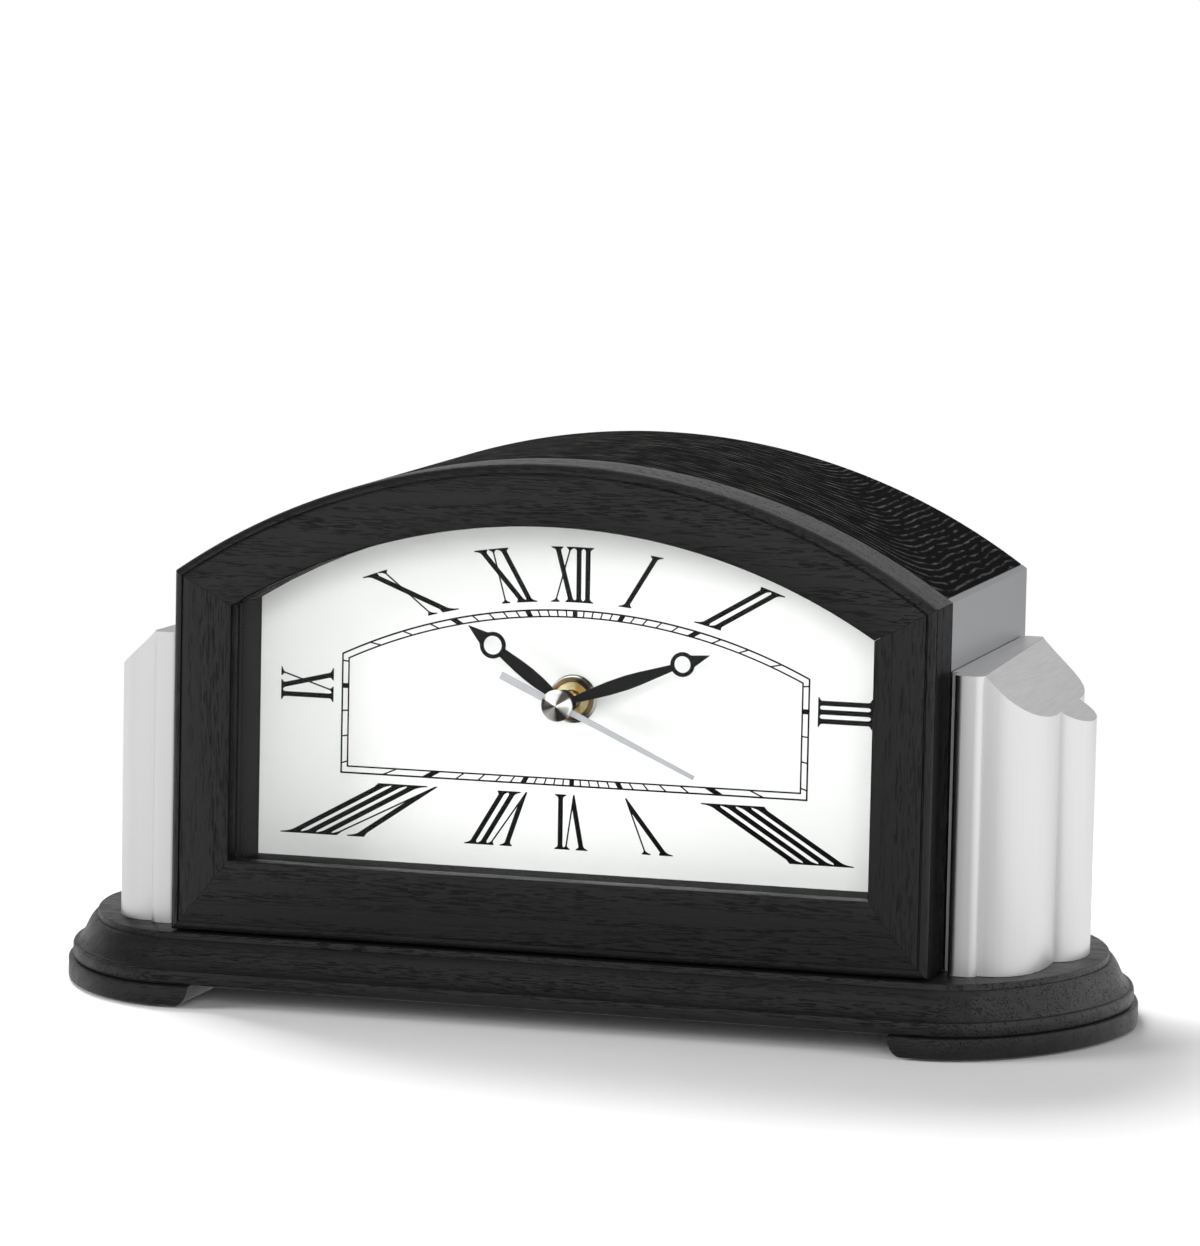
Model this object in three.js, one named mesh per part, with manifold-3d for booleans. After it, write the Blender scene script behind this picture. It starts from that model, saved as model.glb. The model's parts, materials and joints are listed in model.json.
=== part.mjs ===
// A mantel clock with a loudspeaker in its case.
// Millimetres, +Z up. The front faces -Y, and the origin is on the floor under the middle of the base.

import * as THREE from 'three';
import { mergeVertices } from 'three/addons/utils/BufferGeometryUtils.js';
import Module from 'manifold-3d';

const wasm = await Module();
wasm.setup();

// Clearances between neighbours
const SEAT_GAP = 0.1;
const FIT_GAP = 0.3;
const PRESS_CLEARANCE = 0.05;

// Base: a moulded board with half-oval ends, on a bracket foot under each end
const PAD_THICKNESS = 0.6;
const PAD_RADIUS = 8;
const PAD_INSET = 27;
const FOOT_HEIGHT = 5.8;
const FOOT_ROUND = 0.5;
const BASE_HALF_LENGTH = 153.7;
const BASE_HALF_DEPTH = 66;
const BASE_END_LENGTH = 44.8;
const BASE_END_POWER = 1.82;
const PLINTH_HEIGHT = 13.5;
const PLINTH_INSET = 1.3;
const LOWER_BAND_HEIGHT = 4;
const LOWER_BAND_ROUND = 0.9;
const LOWER_BAND_LEDGE = 1.3;
const TOP_FILLET_HEIGHT = 1.8;
const OGEE_SPREAD = 5;
const OGEE_SWING = 0.07;
const OGEE_STEPS = 5;
const FILLET_INSET = 0.9;
const BRACKET_OPENING = 104;
const BRACKET_COVE = 4.6;
const PLAN_STEPS = 18;

// Case and its front frame
const CASE_WIDTH = 216;
const SHOULDER_HEIGHT = 101;
const ARCH_RISE = 34.2;
const FRAME_THICKNESS = 20;
const CASE_DEPTH = 94;
const RAIL_WIDTH = 17;
const BOTTOM_RAIL_HEIGHT = 21;
const FRAME_BEAD = 2.2;
const FRAME_LIFT = 0.5;
const MITRE_GAP = 0.1;
const GLASS_SET_BACK = 5.5;
const GLASS_THICKNESS = 2;
const REBATE = 5;
const DIAL_SET_BACK = 26.5;
const WALL_DROP = 1.5;
const TOP_THICKNESS = 6;
const CHEEK_THICKNESS = 1.5;
const FLOOR_THICKNESS = 5;
const BATTEN_WIDTH = 10;
const BATTEN_DEPTH = 9;
const PANEL_THICKNESS = 4;
const PANEL_SET_BACK = 1;
const ARCH_STEPS = 20;

// Columns: three lobes that step out from the case, under a coved top
const COLUMN_HEIGHT = 82.2;
const COLUMN_MIDDLE_SHIFT = 5.5;
const COLUMN_TAPER = 0.04;
const LOBE_A_WIDTH = 10.1;
const LOBE_A_HALF_DEPTH = 48.7;
const LOBE_A_CORNER = 2.4;
const LOBE_A_RELIEF = 2;
const LOBE_B_WIDTH = 15.9;
const LOBE_B_HALF_DEPTH = 46;
const LOBE_B_POWER = 2.6;
const LOBE_C_WIDTH = 7.2;
const LOBE_C_HALF_DEPTH = 15;
const COVE_DROP = 16.3;
const COVE_SAG = 1.6;
const COLUMN_WALL = 2.5;
const COLUMN_BOSS_RADIUS = 4;
const COLUMN_BOSS_SPREAD = 24;
const LOBE_STEPS = 8;

// Dial and movement
const DIAL_CENTRE_HEIGHT = 68.2;
const DIAL_THICKNESS = 0.8;
const BACKER_THICKNESS = 5;
const BUSH_RADIUS = 4.9;
const BUSH_BORE = 2.65;
const BUSH_PROUD = 1.9;
const WASHER_RADIUS = 6.75;
const WASHER_THICKNESS = 0.5;
const NUT_RADIUS = 5.7;
const NUT_THICKNESS = 1.1;
const MOVEMENT_SIZE = 56;
const MOVEMENT_CORNER = 4;
const HOUSING_DEPTH = 14;
const HOUSING_WALL = 1.6;
const COVER_THICKNESS = 1.8;
const TRAIN_HALF_WIDTH = 22;
const TRAIN_BELOW = 8;
const TRAIN_ABOVE = 24;
const CELL_RADIUS = 7;
const CELL_LENGTH = 49;
const CELL_DROP = 18;
const CONTACT_THICKNESS = 0.5;

// Hands: lengths from the dial centre and the distances of their planes before the dial
const HOUR_LENGTH = 33.8;
const MINUTE_LENGTH = 44.7;
const SECOND_LENGTH = 42.9;
const SECOND_TAIL = 18;
const HAND_THICKNESS = 0.45;
const HAND_RING_RADIUS = 3.3;
const HAND_RING_WIDTH = 0.8;
const HAND_POINT_LENGTH = 8;
const HAND_BLADE_WIDTH = 2.8;
const HAND_COLLET_RADIUS = 3.6;
const HAND_POINT_HALF_WIDTH = 1.3;
const HAND_HUB_WALL = 0.9;
const HAND_HUB_DEPTH = 0.7;
const SECOND_TAIL_HALF_WIDTH = 0.95;
const SECOND_TIP_HALF_WIDTH = 0.42;
const SECOND_BOSS_RADIUS = 2;
const HOUR_PLANE = 9.6;
const MINUTE_PLANE = 12.6;
const SECOND_PLANE = 15.6;
const CAP_RADIUS = 4.4;
const CAP_HEIGHT = 2.2;
const CAP_TIP_RADIUS = 0.7;
const CAP_RIM_HEIGHT = 0.7;
const CAP_RIM_WIDTH = 0.4;
const CAP_BORE_DEPTH = 0.9;
const TIME_MINUTES = 11.6;
const TIME_HOURS = 10;
const TIME_SECONDS = 19.1;

// Wheels behind the dial: minute pinion to setting wheel, its pinion to hour wheel
const WHEEL_MODULE = 0.42;
const MINUTE_PINION_TEETH = 10;
const SETTING_WHEEL_TEETH = 30;
const SETTING_PINION_TEETH = 8;
const HOUR_WHEEL_TEETH = 32;
const SECOND_WHEEL_TEETH = 22;
const SECOND_WHEEL_MODULE = 0.6;
const WHEEL_THICKNESS = 1.1;
const HOUR_TUBE_RADIUS = 2.4;
const HOUR_TUBE_BORE = 1.85;
const MINUTE_TUBE_RADIUS = 1.6;
const MINUTE_TUBE_BORE = 1.05;
const SECOND_ARBOR_RADIUS = 0.8;
const KNOB_RADIUS = 6;
const KNOB_LENGTH = 4;
const KNOB_RIBS = 14;
const SETTING_STEM_RADIUS = 1;

// Rear panel: grilles, door, controls
const SPEAKER_SIDE_GAP = 0.8;
const SPEAKER_HEIGHT = 44;
const SPEAKER_HOLE = 21;
const FLANGE_RADIUS = 25.5;
const FLANGE_THICKNESS = 1.9;
const BASKET_DEPTH = 17;
const MAGNET_RADIUS = 17;
const MAGNET_DEPTH = 13;
const COIL_FORMER_RADIUS = 6.7;
const COIL_ROOM_OUTSIDE = 0.6;
const COIL_ROOM_INSIDE = 1.3;
const COIL_WALL = 0.6;
const CONE_RISE = 11;
const CONE_SET_BACK = 2;
const CONE_RADIUS = 16.8;
const SURROUND_RADIUS = 1.9;
const SPEAKER_SIDES = 18;
const GRILLE_RADIUS = 25;
const GRILLE_THICKNESS = 1.2;
const GRILLE_RIM = 3.5;
const GRILLE_SLOT_WIDTH = 2.2;
const GRILLE_SLOT_PITCH = 4.6;
const GRILLE_SIDES = 32;
const DOOR_SIDE_GAP = 7;
const DOOR_HEIGHT = 72;
const DOOR_LIFT = 32;
const HINGE_LEAF = 6;
const HINGE_LENGTH = 60;
const HINGE_KNUCKLES = 5;
const HINGE_RADIUS = 1.7;
const HINGE_PIN_RADIUS = 0.7;
const HINGE_PLATE = 0.8;
const PULL_RADIUS = 4;
const PULL_LENGTH = 7;
const PULL_INSET = 7;
const BUTTON_RADIUS = 4;
const BUTTON_PITCH = 15;
const BUTTON_HEIGHT = 17;
const BUTTON_PROUD = 1.2;
const BUTTON_TRAVEL = 0.8;
const PORT_WIDTH = 9.4;
const PORT_HEIGHT = 3.6;
const BOARD_THICKNESS = 1.6;
const BOARD_SIDE_GAP = 18;
const BOARD_BOSS_INSET = 4;
const BOARD_BOSS_RADIUS = 3;
const SWITCH_HALF_WIDTH = 3;
const SWITCH_DEPTH = 3.5;
const CHIP_HALF_WIDTH = 5;
const CHIP_DEPTH = 2.5;
const CHIP_RISE = 6;
const CHIP_HEIGHT = 10;
const CAPACITOR_RADIUS = 3;
const CAPACITOR_DEPTH = 7;
const BOARD_HEIGHT = 22;
const BOARD_DISTANCE = 8.4;
const PACK_LENGTH = 60;
const PACK_DEPTH = 19;
const PACK_HEIGHT = 19;
const PACK_FRONT = 12;
const SCREW_HOLE_RADIUS = 1.6;
const SCREW_RECESS_RADIUS = 3.2;
const SCREW_RECESS_DEPTH = 2.5;

// Levels and planes that follow from the sizes above
const plinthBottom = PAD_THICKNESS + FOOT_HEIGHT + SEAT_GAP;
const plinthTop = plinthBottom + PLINTH_HEIGHT;
const caseBottom = plinthTop + SEAT_GAP;
const halfWidth = CASE_WIDTH / 2;
const shoulder = plinthTop + SHOULDER_HEIGHT;
const frontY = -(FRAME_THICKNESS + CASE_DEPTH) / 2;
const caseFrontY = frontY + FRAME_THICKNESS;
const rearY = -frontY;
const archRadius = (halfWidth ** 2 + ARCH_RISE ** 2) / (2 * ARCH_RISE);
const archCentre = shoulder + ARCH_RISE - archRadius;
const windowHalfWidth = halfWidth - RAIL_WIDTH;
const windowBottom = plinthTop + BOTTOM_RAIL_HEIGHT;
const windowRadius = archRadius - RAIL_WIDTH;
const glassY = frontY + GLASS_SET_BACK;
const wallY = glassY + GLASS_THICKNESS + SEAT_GAP;
const dialY = frontY + DIAL_SET_BACK;
const backerY = dialY + DIAL_THICKNESS + SEAT_GAP;
const housingY = backerY + BACKER_THICKNESS + SEAT_GAP;
const coverY = housingY + HOUSING_DEPTH + SEAT_GAP;
const dialCentre = plinthTop + DIAL_CENTRE_HEIGHT;
const insideHalfWidth = halfWidth - CHEEK_THICKNESS - SEAT_GAP;
const insideRadius = archRadius - TOP_THICKNESS;
const floorTop = caseBottom + FLOOR_THICKNESS;
const panelRearY = rearY - PANEL_SET_BACK;
const panelFrontY = panelRearY - PANEL_THICKNESS;
const columnInnerX = halfWidth + FIT_GAP;
const columnMiddleY = (caseFrontY + rearY) / 2 - COLUMN_MIDDLE_SHIFT;
const columnNotchY = columnMiddleY - LOBE_B_HALF_DEPTH;
const columnTop = plinthTop + COLUMN_HEIGHT;
const wheelDistance = WHEEL_MODULE * (MINUTE_PINION_TEETH + SETTING_WHEEL_TEETH) / 2;
const hourModule = 2 * wheelDistance / (SETTING_PINION_TEETH + HOUR_WHEEL_TEETH);
const settingZ = dialCentre + wheelDistance;
const speakerZ = plinthTop + SPEAKER_HEIGHT;
const speakerX = insideHalfWidth - SEAT_GAP - BATTEN_WIDTH - SPEAKER_SIDE_GAP - FLANGE_RADIUS;
const doorHalfWidth = speakerX - GRILLE_RADIUS - DOOR_SIDE_GAP;
const boardHalfWidth = speakerX - BOARD_SIDE_GAP;
const doorBottom = plinthTop + DOOR_LIFT;
const doorTop = doorBottom + DOOR_HEIGHT;
const hingeX = -doorHalfWidth;
const hingeY = panelRearY + HINGE_RADIUS + SEAT_GAP;
const buttonZ = plinthTop + BUTTON_HEIGHT;
const boardY = panelFrontY - BOARD_DISTANCE;

// Materials

function finish(color, roughness, metalness) {
  return new THREE.MeshStandardMaterial({ color, roughness, metalness });
}

const blackOak = () => finish(0x232221, 0.45, 0);
const oakVeneer = () => finish(0x2b2a29, 0.5, 0);
const satinAluminium = () => finish(0xc9cacc, 0.35, 1);
const darkAluminium = () => finish(0x8f9092, 0.42, 1);
const clearGlass = () => finish(0xdfe8ea, 0.03, 0);
const whiteEnamel = () => finish(0xf2f2f0, 0.55, 0);
const blackPaint = () => finish(0x0b0b0c, 0.4, 0.2);
const blackPlastic = () => finish(0x17181a, 0.5, 0);
const steel = () => finish(0xb9babc, 0.3, 1);
const brass = () => finish(0xc9a75a, 0.3, 1);
const rubber = () => finish(0x121212, 0.85, 0);
const board = () => finish(0x6e5336, 0.8, 0);
const paperPulp = () => finish(0x1b1b1d, 0.9, 0);
const circuitGreen = () => finish(0x1d5a34, 0.55, 0);
const cellWrap = () => finish(0x3a3f46, 0.35, 0.5);

// Solids

function solid(geometry) {
  const plain = geometry.clone();
  plain.deleteAttribute('normal');
  plain.deleteAttribute('uv');
  const merged = mergeVertices(plain, 1e-4);
  return new wasm.Manifold(new wasm.Mesh({
    numProp: 3,
    vertProperties: new Float32Array(merged.attributes.position.array),
    triVerts: new Uint32Array(merged.index.array),
  }));
}

function geometryOf(manifold) {
  const mesh = manifold.getMesh();
  const geometry = new THREE.BufferGeometry();
  geometry.setAttribute('position', new THREE.BufferAttribute(mesh.vertProperties, 3));
  geometry.setIndex(new THREE.BufferAttribute(mesh.triVerts, 1));
  return geometry;
}

function join(solids) {
  return solids.reduce((whole, piece) => whole.add(piece));
}

function cut(body, tools) {
  return tools.reduce((rest, tool) => rest.subtract(tool), body);
}

function shapeOf(points, holes = []) {
  const shape = new THREE.Shape(points);
  shape.holes = holes.map((hole) => new THREE.Path(hole));
  return shape;
}

const at = (x, y) => new THREE.Vector2(x, y);

// A plan drawn in X and Y, raised from one level to another
function raise(points, bottom, top) {
  const geometry = new THREE.ExtrudeGeometry(shapeOf(points), { depth: top - bottom, bevelEnabled: false });
  return solid(geometry.translate(0, 0, bottom));
}

// An elevation drawn in X and Z, run back from one plane to another
function runBack(points, front, rear, holes = []) {
  const geometry = new THREE.ExtrudeGeometry(shapeOf(points, holes), { depth: rear - front, bevelEnabled: false });
  return solid(geometry.rotateX(Math.PI / 2).translate(0, rear, 0));
}

function box(x0, x1, y0, y1, z0, z1) {
  const geometry = new THREE.BoxGeometry(x1 - x0, y1 - y0, z1 - z0);
  return solid(geometry.translate((x0 + x1) / 2, (y0 + y1) / 2, (z0 + z1) / 2));
}

// A round bar along Y
function bar(radius, front, rear, x = 0, z = 0, sides = 24) {
  const geometry = new THREE.CylinderGeometry(radius, radius, rear - front, sides);
  return solid(geometry.translate(x, (front + rear) / 2, z));
}

// A round bar along Z
function post(radius, bottom, top, x, y, sides = 24) {
  const geometry = new THREE.CylinderGeometry(radius, radius, top - bottom, sides);
  return solid(geometry.rotateX(Math.PI / 2).translate(x, y, (bottom + top) / 2));
}

// A round bar along X
function rod(radius, left, right, y, z, sides = 24) {
  const geometry = new THREE.CylinderGeometry(radius, radius, right - left, sides);
  return solid(geometry.rotateZ(Math.PI / 2).translate((left + right) / 2, y, z));
}

// A turned piece about the Y axis, from [radius, y] pairs that go outwards first and then to higher y
function turned(profile, sides = 32, closed = false) {
  const points = profile.map(([radius, y]) => at(radius, y));
  if (closed) points.push(points[0].clone());
  return solid(new THREE.LatheGeometry(points, sides));
}

// A skin over rings with the same number of points, each ring anticlockwise seen from the last one
function loft(rings) {
  const count = rings[0].length;
  const index = [];
  for (let level = 0; level < rings.length - 1; level += 1) {
    for (let i = 0; i < count; i += 1) {
      const a = level * count + i;
      const b = level * count + (i + 1) % count;
      index.push(a, b, b + count, a, b + count, a + count);
    }
  }
  const last = (rings.length - 1) * count;
  for (let i = 1; i < count - 1; i += 1) {
    index.push(0, i + 1, i, last, last + i, last + i + 1);
  }
  const geometry = new THREE.BufferGeometry().setFromPoints(rings.flat());
  return solid(geometry.setIndex(index));
}

function arc(centreX, centreY, radiusX, radiusY, from, to, steps) {
  return Array.from({ length: steps + 1 }, (_, i) => {
    const angle = from + (to - from) * i / steps;
    return at(centreX + radiusX * Math.cos(angle), centreY + radiusY * Math.sin(angle));
  });
}

// A bulged or pinched arc: 2 is an ellipse, a higher power is squarer and a lower one more pointed
function superArc(centreX, centreY, radiusX, radiusY, power, from, to, steps) {
  const bulge = (value) => Math.sign(value) * Math.abs(value) ** (2 / power);
  return arc(0, 0, 1, 1, from, to, steps).map((p) => (
    at(centreX + radiusX * bulge(p.x), centreY + radiusY * bulge(p.y))));
}

function mirrored(points) {
  return points.map((p) => at(-p.x, p.y)).reverse();
}

// Base

function basePlan(inset) {
  const endLength = BASE_END_LENGTH - inset;
  const centre = BASE_HALF_LENGTH - BASE_END_LENGTH;
  const halfDepth = BASE_HALF_DEPTH - inset;
  const rightEnd = superArc(centre, 0, endLength, halfDepth, BASE_END_POWER, -Math.PI / 2, Math.PI / 2, PLAN_STEPS);
  return [...rightEnd, ...rightEnd.map((p) => at(-p.x, -p.y))];
}

function baseRing(inset, z) {
  return basePlan(inset).map((p) => new THREE.Vector3(p.x, p.y, z));
}

// The edge of the plinth, from the bottom up: lower band, ledge, cove, step and top fillet
function plinthEdge() {
  const bandTop = plinthBottom + LOWER_BAND_HEIGHT;
  const coveTop = plinthTop - TOP_FILLET_HEIGHT;
  const coveInset = PLINTH_INSET + LOWER_BAND_LEDGE;
  const rings = [
    [PLINTH_INSET + LOWER_BAND_ROUND / 2, plinthBottom],
    [PLINTH_INSET, plinthBottom + LOWER_BAND_ROUND],
    [PLINTH_INSET, bandTop - LOWER_BAND_ROUND],
    [PLINTH_INSET + LOWER_BAND_ROUND / 2, bandTop],
  ];
  const coveBottom = bandTop + 0.2;
  for (let i = 0; i <= OGEE_STEPS; i += 1) {
    const share = i / OGEE_STEPS;
    const rise = share - OGEE_SWING * Math.sin(2 * Math.PI * share);
    rings.push([coveInset + OGEE_SPREAD * share, coveBottom + (coveTop - coveBottom) * rise]);
  }
  const filletInset = coveInset + OGEE_SPREAD + FILLET_INSET;
  rings.push([filletInset, coveTop + 0.1], [filletInset, plinthTop - 0.3], [filletInset + 0.3, plinthTop]);
  return rings;
}

const caseScrewPlaces = [-90, 90].flatMap((x) => [-25, 25].map((y) => [x, y]));
const columnBossX = columnInnerX + LOBE_A_WIDTH + LOBE_B_WIDTH / 2 - 2.5;
const columnScrewPlaces = [-1, 1].flatMap((side) => [-1, 1].map((end) => (
  [side * columnBossX, columnMiddleY + end * COLUMN_BOSS_SPREAD])));

// A board with a moulded edge and, from below, a recess for each screw head
function makePlinth() {
  const body = loft(plinthEdge().map(([inset, z]) => baseRing(inset, z)));
  const recesses = [...caseScrewPlaces, ...columnScrewPlaces].map(([x, y]) => (
    post(SCREW_RECESS_RADIUS, plinthBottom - 1, plinthBottom + SCREW_RECESS_DEPTH, x, y, 8)));
  return cut(body, recesses);
}

// A layer under each end of the plinth, with a cove cut where it meets the open middle
function makeFoot(side) {
  const bottom = PAD_THICKNESS;
  const top = PAD_THICKNESS + FOOT_HEIGHT;
  const reach = BASE_HALF_LENGTH + 1;
  const layer = loft([
    baseRing(FOOT_ROUND, bottom), baseRing(0, bottom + FOOT_ROUND),
    baseRing(0, top - FOOT_ROUND), baseRing(FOOT_ROUND, top),
  ]);
  const cove = arc(BRACKET_OPENING, top, BRACKET_COVE, FOOT_HEIGHT, Math.PI, 1.5 * Math.PI, 6);
  const keep = [...cove, at(reach, bottom), at(reach, top)];
  const places = columnScrewPlaces.filter(([x]) => x * side > 0);
  const ways = places.map(([x, y]) => post(SCREW_RECESS_RADIUS + 1, bottom - 1, top + 1, x, y, 8));
  const pieces = side > 0 ? keep : mirrored(keep);
  return cut(layer.intersect(runBack(pieces, -BASE_HALF_DEPTH - 1, BASE_HALF_DEPTH + 1)), ways);
}

const padPlaces = { front: -1, rear: 1 };

function makePad(side, end) {
  const x = side * (BASE_HALF_LENGTH - PAD_INSET);
  const y = end * (BASE_HALF_DEPTH - PAD_INSET);
  return post(PAD_RADIUS, 0, PAD_THICKNESS - SEAT_GAP, x, y, 16);
}

// Front frame

function archOutline(half, bottom, radius, inset = 0) {
  const reach = half - inset;
  const arcRadius = radius - inset;
  const end = Math.acos(reach / arcRadius);
  const top = arc(0, archCentre, arcRadius, arcRadius, end, Math.PI - end, ARCH_STEPS);
  return [at(-reach, bottom + inset), at(reach, bottom + inset), ...top];
}

function archLine(outline, y) {
  return outline.map((p) => new THREE.Vector3(p.x, y, p.y));
}

function archHeight(x, radius) {
  return archCentre + Math.sqrt(radius ** 2 - x ** 2);
}

function makeFrameRails() {
  const bottom = caseBottom + FRAME_LIFT;
  const outline = (inset) => archOutline(halfWidth, bottom, archRadius, inset);
  const rings = [archLine(outline(0), caseFrontY - SEAT_GAP)];
  const steps = 4;
  for (let i = 0; i <= steps; i += 1) {
    const angle = (Math.PI / 2) * i / steps;
    const inset = FRAME_BEAD * (1 - Math.cos(angle));
    rings.push(archLine(outline(inset), frontY + FRAME_BEAD * (1 - Math.sin(angle))));
  }
  const slab = loft(rings);
  const opening = runBack(archOutline(windowHalfWidth, windowBottom, windowRadius), frontY - 1, rearY);
  const rebate = runBack(archOutline(windowHalfWidth, windowBottom, windowRadius, -REBATE), glassY, rearY);
  const cornerHeight = archHeight(windowHalfWidth, windowRadius);
  const mitres = [-1, 1].flatMap((side) => [
    mitreSlit(side * windowHalfWidth, windowBottom, side * halfWidth, bottom),
    mitreSlit(side * windowHalfWidth, cornerHeight, side * halfWidth, shoulder),
  ]);
  const rails = cut(slab, [opening, rebate, ...mitres]).decompose();
  const middle = (rail) => {
    const { min, max } = rail.boundingBox();
    return { x: (min[0] + max[0]) / 2, z: (min[2] + max[2]) / 2 };
  };
  const byHeight = [...rails].sort((a, b) => middle(a).z - middle(b).z);
  const stiles = byHeight.slice(1, 3).sort((a, b) => middle(a).x - middle(b).x);
  return { bottom: byHeight[0], arch: byHeight[3], left: stiles[0], right: stiles[1] };
}

// A thin slit along the line from the window's corner to the frame's corner, and past both
function mitreSlit(innerX, innerZ, outerX, outerZ) {
  const along = at(outerX - innerX, outerZ - innerZ).normalize();
  const across = at(-along.y, along.x).multiplyScalar(MITRE_GAP / 2);
  const start = at(innerX, innerZ).addScaledVector(along, -2 * REBATE);
  const end = at(outerX, outerZ).addScaledVector(along, 2 * REBATE);
  const corners = [
    start.clone().add(across), start.clone().sub(across), end.clone().sub(across), end.clone().add(across),
  ];
  return runBack(corners, frontY - 1, rearY);
}

// What lies in the frame's rebate: the glass, the wall behind it, and the dial plate

function rebateOutline() {
  return archOutline(windowHalfWidth, windowBottom, windowRadius, FIT_GAP - REBATE);
}

function makeGlass() {
  return runBack(rebateOutline(), glassY + SEAT_GAP, glassY + GLASS_THICKNESS);
}

// A one-piece black wall between the glass and the dial
function makeSurroundWall() {
  const inner = archOutline(windowHalfWidth, windowBottom - WALL_DROP, windowRadius);
  return runBack(rebateOutline(), wallY, dialY - SEAT_GAP, [inner]);
}

function makeDialPlate() {
  const plate = runBack(rebateOutline(), dialY, dialY + DIAL_THICKNESS);
  return plate.subtract(bar(BUSH_RADIUS + FIT_GAP, frontY, rearY, 0, dialCentre));
}

// Case behind the frame

function makeCaseTop() {
  const reach = insideHalfWidth;
  const span = (radius) => {
    const end = Math.acos(reach / radius);
    return arc(0, archCentre, radius, radius, end, Math.PI - end, ARCH_STEPS);
  };
  return runBack([...span(archRadius), ...span(insideRadius).reverse()], caseFrontY, rearY);
}

function makeCheek(side) {
  const inner = halfWidth - CHEEK_THICKNESS;
  const outline = [
    at(inner, caseBottom), at(halfWidth, caseBottom),
    at(halfWidth, shoulder), at(inner, archHeight(inner, archRadius)),
  ];
  return runBack(side > 0 ? outline : mirrored(outline), caseFrontY, rearY);
}

const panelScrewPlaces = [-1, 1].flatMap((side) => [12, 50, 88].map((rise) => (
  [side * (insideHalfWidth - BATTEN_WIDTH / 2), plinthTop + rise])));

function makeBatten(side) {
  const outer = insideHalfWidth - SEAT_GAP;
  const inner = outer - BATTEN_WIDTH;
  const rear = panelFrontY - SEAT_GAP;
  const top = archHeight(insideHalfWidth, insideRadius) - FIT_GAP;
  const [x0, x1] = side > 0 ? [inner, outer] : [-outer, -inner];
  return box(x0, x1, rear - BATTEN_DEPTH, rear, floorTop + SEAT_GAP, top);
}

function makeFloor() {
  const half = insideHalfWidth - SEAT_GAP;
  return box(-half, half, caseFrontY, panelFrontY - SEAT_GAP, caseBottom, floorTop);
}

// Carries the dial and the movement, and fills the case from cheek to cheek
function makeDialBacker() {
  const outline = archOutline(insideHalfWidth - SEAT_GAP, floorTop + SEAT_GAP, insideRadius - SEAT_GAP);
  const slab = runBack(outline, backerY, backerY + BACKER_THICKNESS);
  return slab.subtract(bar(BUSH_RADIUS + FIT_GAP, frontY, rearY, 0, dialCentre));
}

// Columns

// Narrows the column towards the rear, with its inner face kept along the cheek
function tapered(p) {
  const share = Math.min(1, Math.max(0, (p.x - columnInnerX) / LOBE_A_WIDTH));
  return at(p.x - COLUMN_TAPER * (p.y - columnNotchY) * share, p.y);
}

function columnPlan(inset) {
  const inner = columnInnerX + inset;
  const lobeA = columnInnerX + LOBE_A_WIDTH - inset;
  const lobeB = lobeA + LOBE_B_WIDTH;
  const corner = Math.max(LOBE_A_CORNER - inset, 0.5);
  const frontA = columnMiddleY - LOBE_A_HALF_DEPTH + inset;
  const depthB = LOBE_B_HALF_DEPTH - LOBE_C_HALF_DEPTH;
  const centreB = columnMiddleY - LOBE_C_HALF_DEPTH + inset;
  const half = (innerX) => [
    ...arc(innerX + corner, frontA + corner, corner, corner, Math.PI, 1.5 * Math.PI, 2),
    ...arc(lobeA - corner, frontA + corner, corner, corner, -Math.PI / 2, 0, 4),
    ...superArc(lobeA, centreB, LOBE_B_WIDTH, depthB, LOBE_B_POWER, -Math.PI / 2, 0, LOBE_STEPS),
  ];
  const depthC = LOBE_C_HALF_DEPTH - inset;
  const nose = arc(lobeB, columnMiddleY, LOBE_C_WIDTH, depthC, -Math.PI / 2, Math.PI / 2, LOBE_STEPS);
  const step = caseFrontY + FIT_GAP + inset;
  const front = [at(inner, step), at(inner + LOBE_A_RELIEF, step), ...half(inner + LOBE_A_RELIEF)];
  const rear = half(inner).map((p) => at(p.x, 2 * columnMiddleY - p.y)).reverse();
  return [...front, ...nose.slice(1, -1), ...rear].map(tapered);
}

// All that lies over the coved top, lowered by a wall for the hollow inside
function aboveCove(drop) {
  const start = at(columnInnerX + LOBE_A_WIDTH, columnTop - drop);
  const end = at(start.x + LOBE_B_WIDTH + LOBE_C_WIDTH, start.y - COVE_DROP);
  const chord = end.clone().sub(start);
  const down = at(chord.y, -chord.x).normalize();
  const steps = 8;
  const curve = Array.from({ length: steps + 1 }, (_, i) => {
    const share = i / steps;
    return start.clone().addScaledVector(chord, share).addScaledVector(down, 4 * COVE_SAG * share * (1 - share));
  });
  const farX = end.x + LOBE_B_WIDTH;
  const highZ = columnTop + LOBE_B_WIDTH;
  const outline = [at(0, start.y), ...curve, at(farX, end.y), at(farX, highZ), at(0, highZ)];
  const slant = new THREE.Matrix4().set(
    1, -COLUMN_TAPER, 0, COLUMN_TAPER * columnNotchY,
    0, 1, 0, 0,
    0, 0, 1, 0,
    0, 0, 0, 1,
  );
  return runBack(outline, frontY - 1, rearY + 1).transform(slant.elements);
}

function makeColumn(side) {
  const body = raise(columnPlan(0), caseBottom, columnTop).subtract(aboveCove(0));
  const bosses = columnScrewPlaces.filter(([x]) => x > 0)
    .map(([x, y]) => post(COLUMN_BOSS_RADIUS, caseBottom, columnTop, x, y, 10));
  const core = cut(raise(columnPlan(COLUMN_WALL), caseBottom - 1, columnTop - COLUMN_WALL),
    [aboveCove(COLUMN_WALL), ...bosses]);
  const column = body.subtract(core);
  return side > 0 ? column : column.mirror([1, 0, 0]);
}

// Movement

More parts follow.
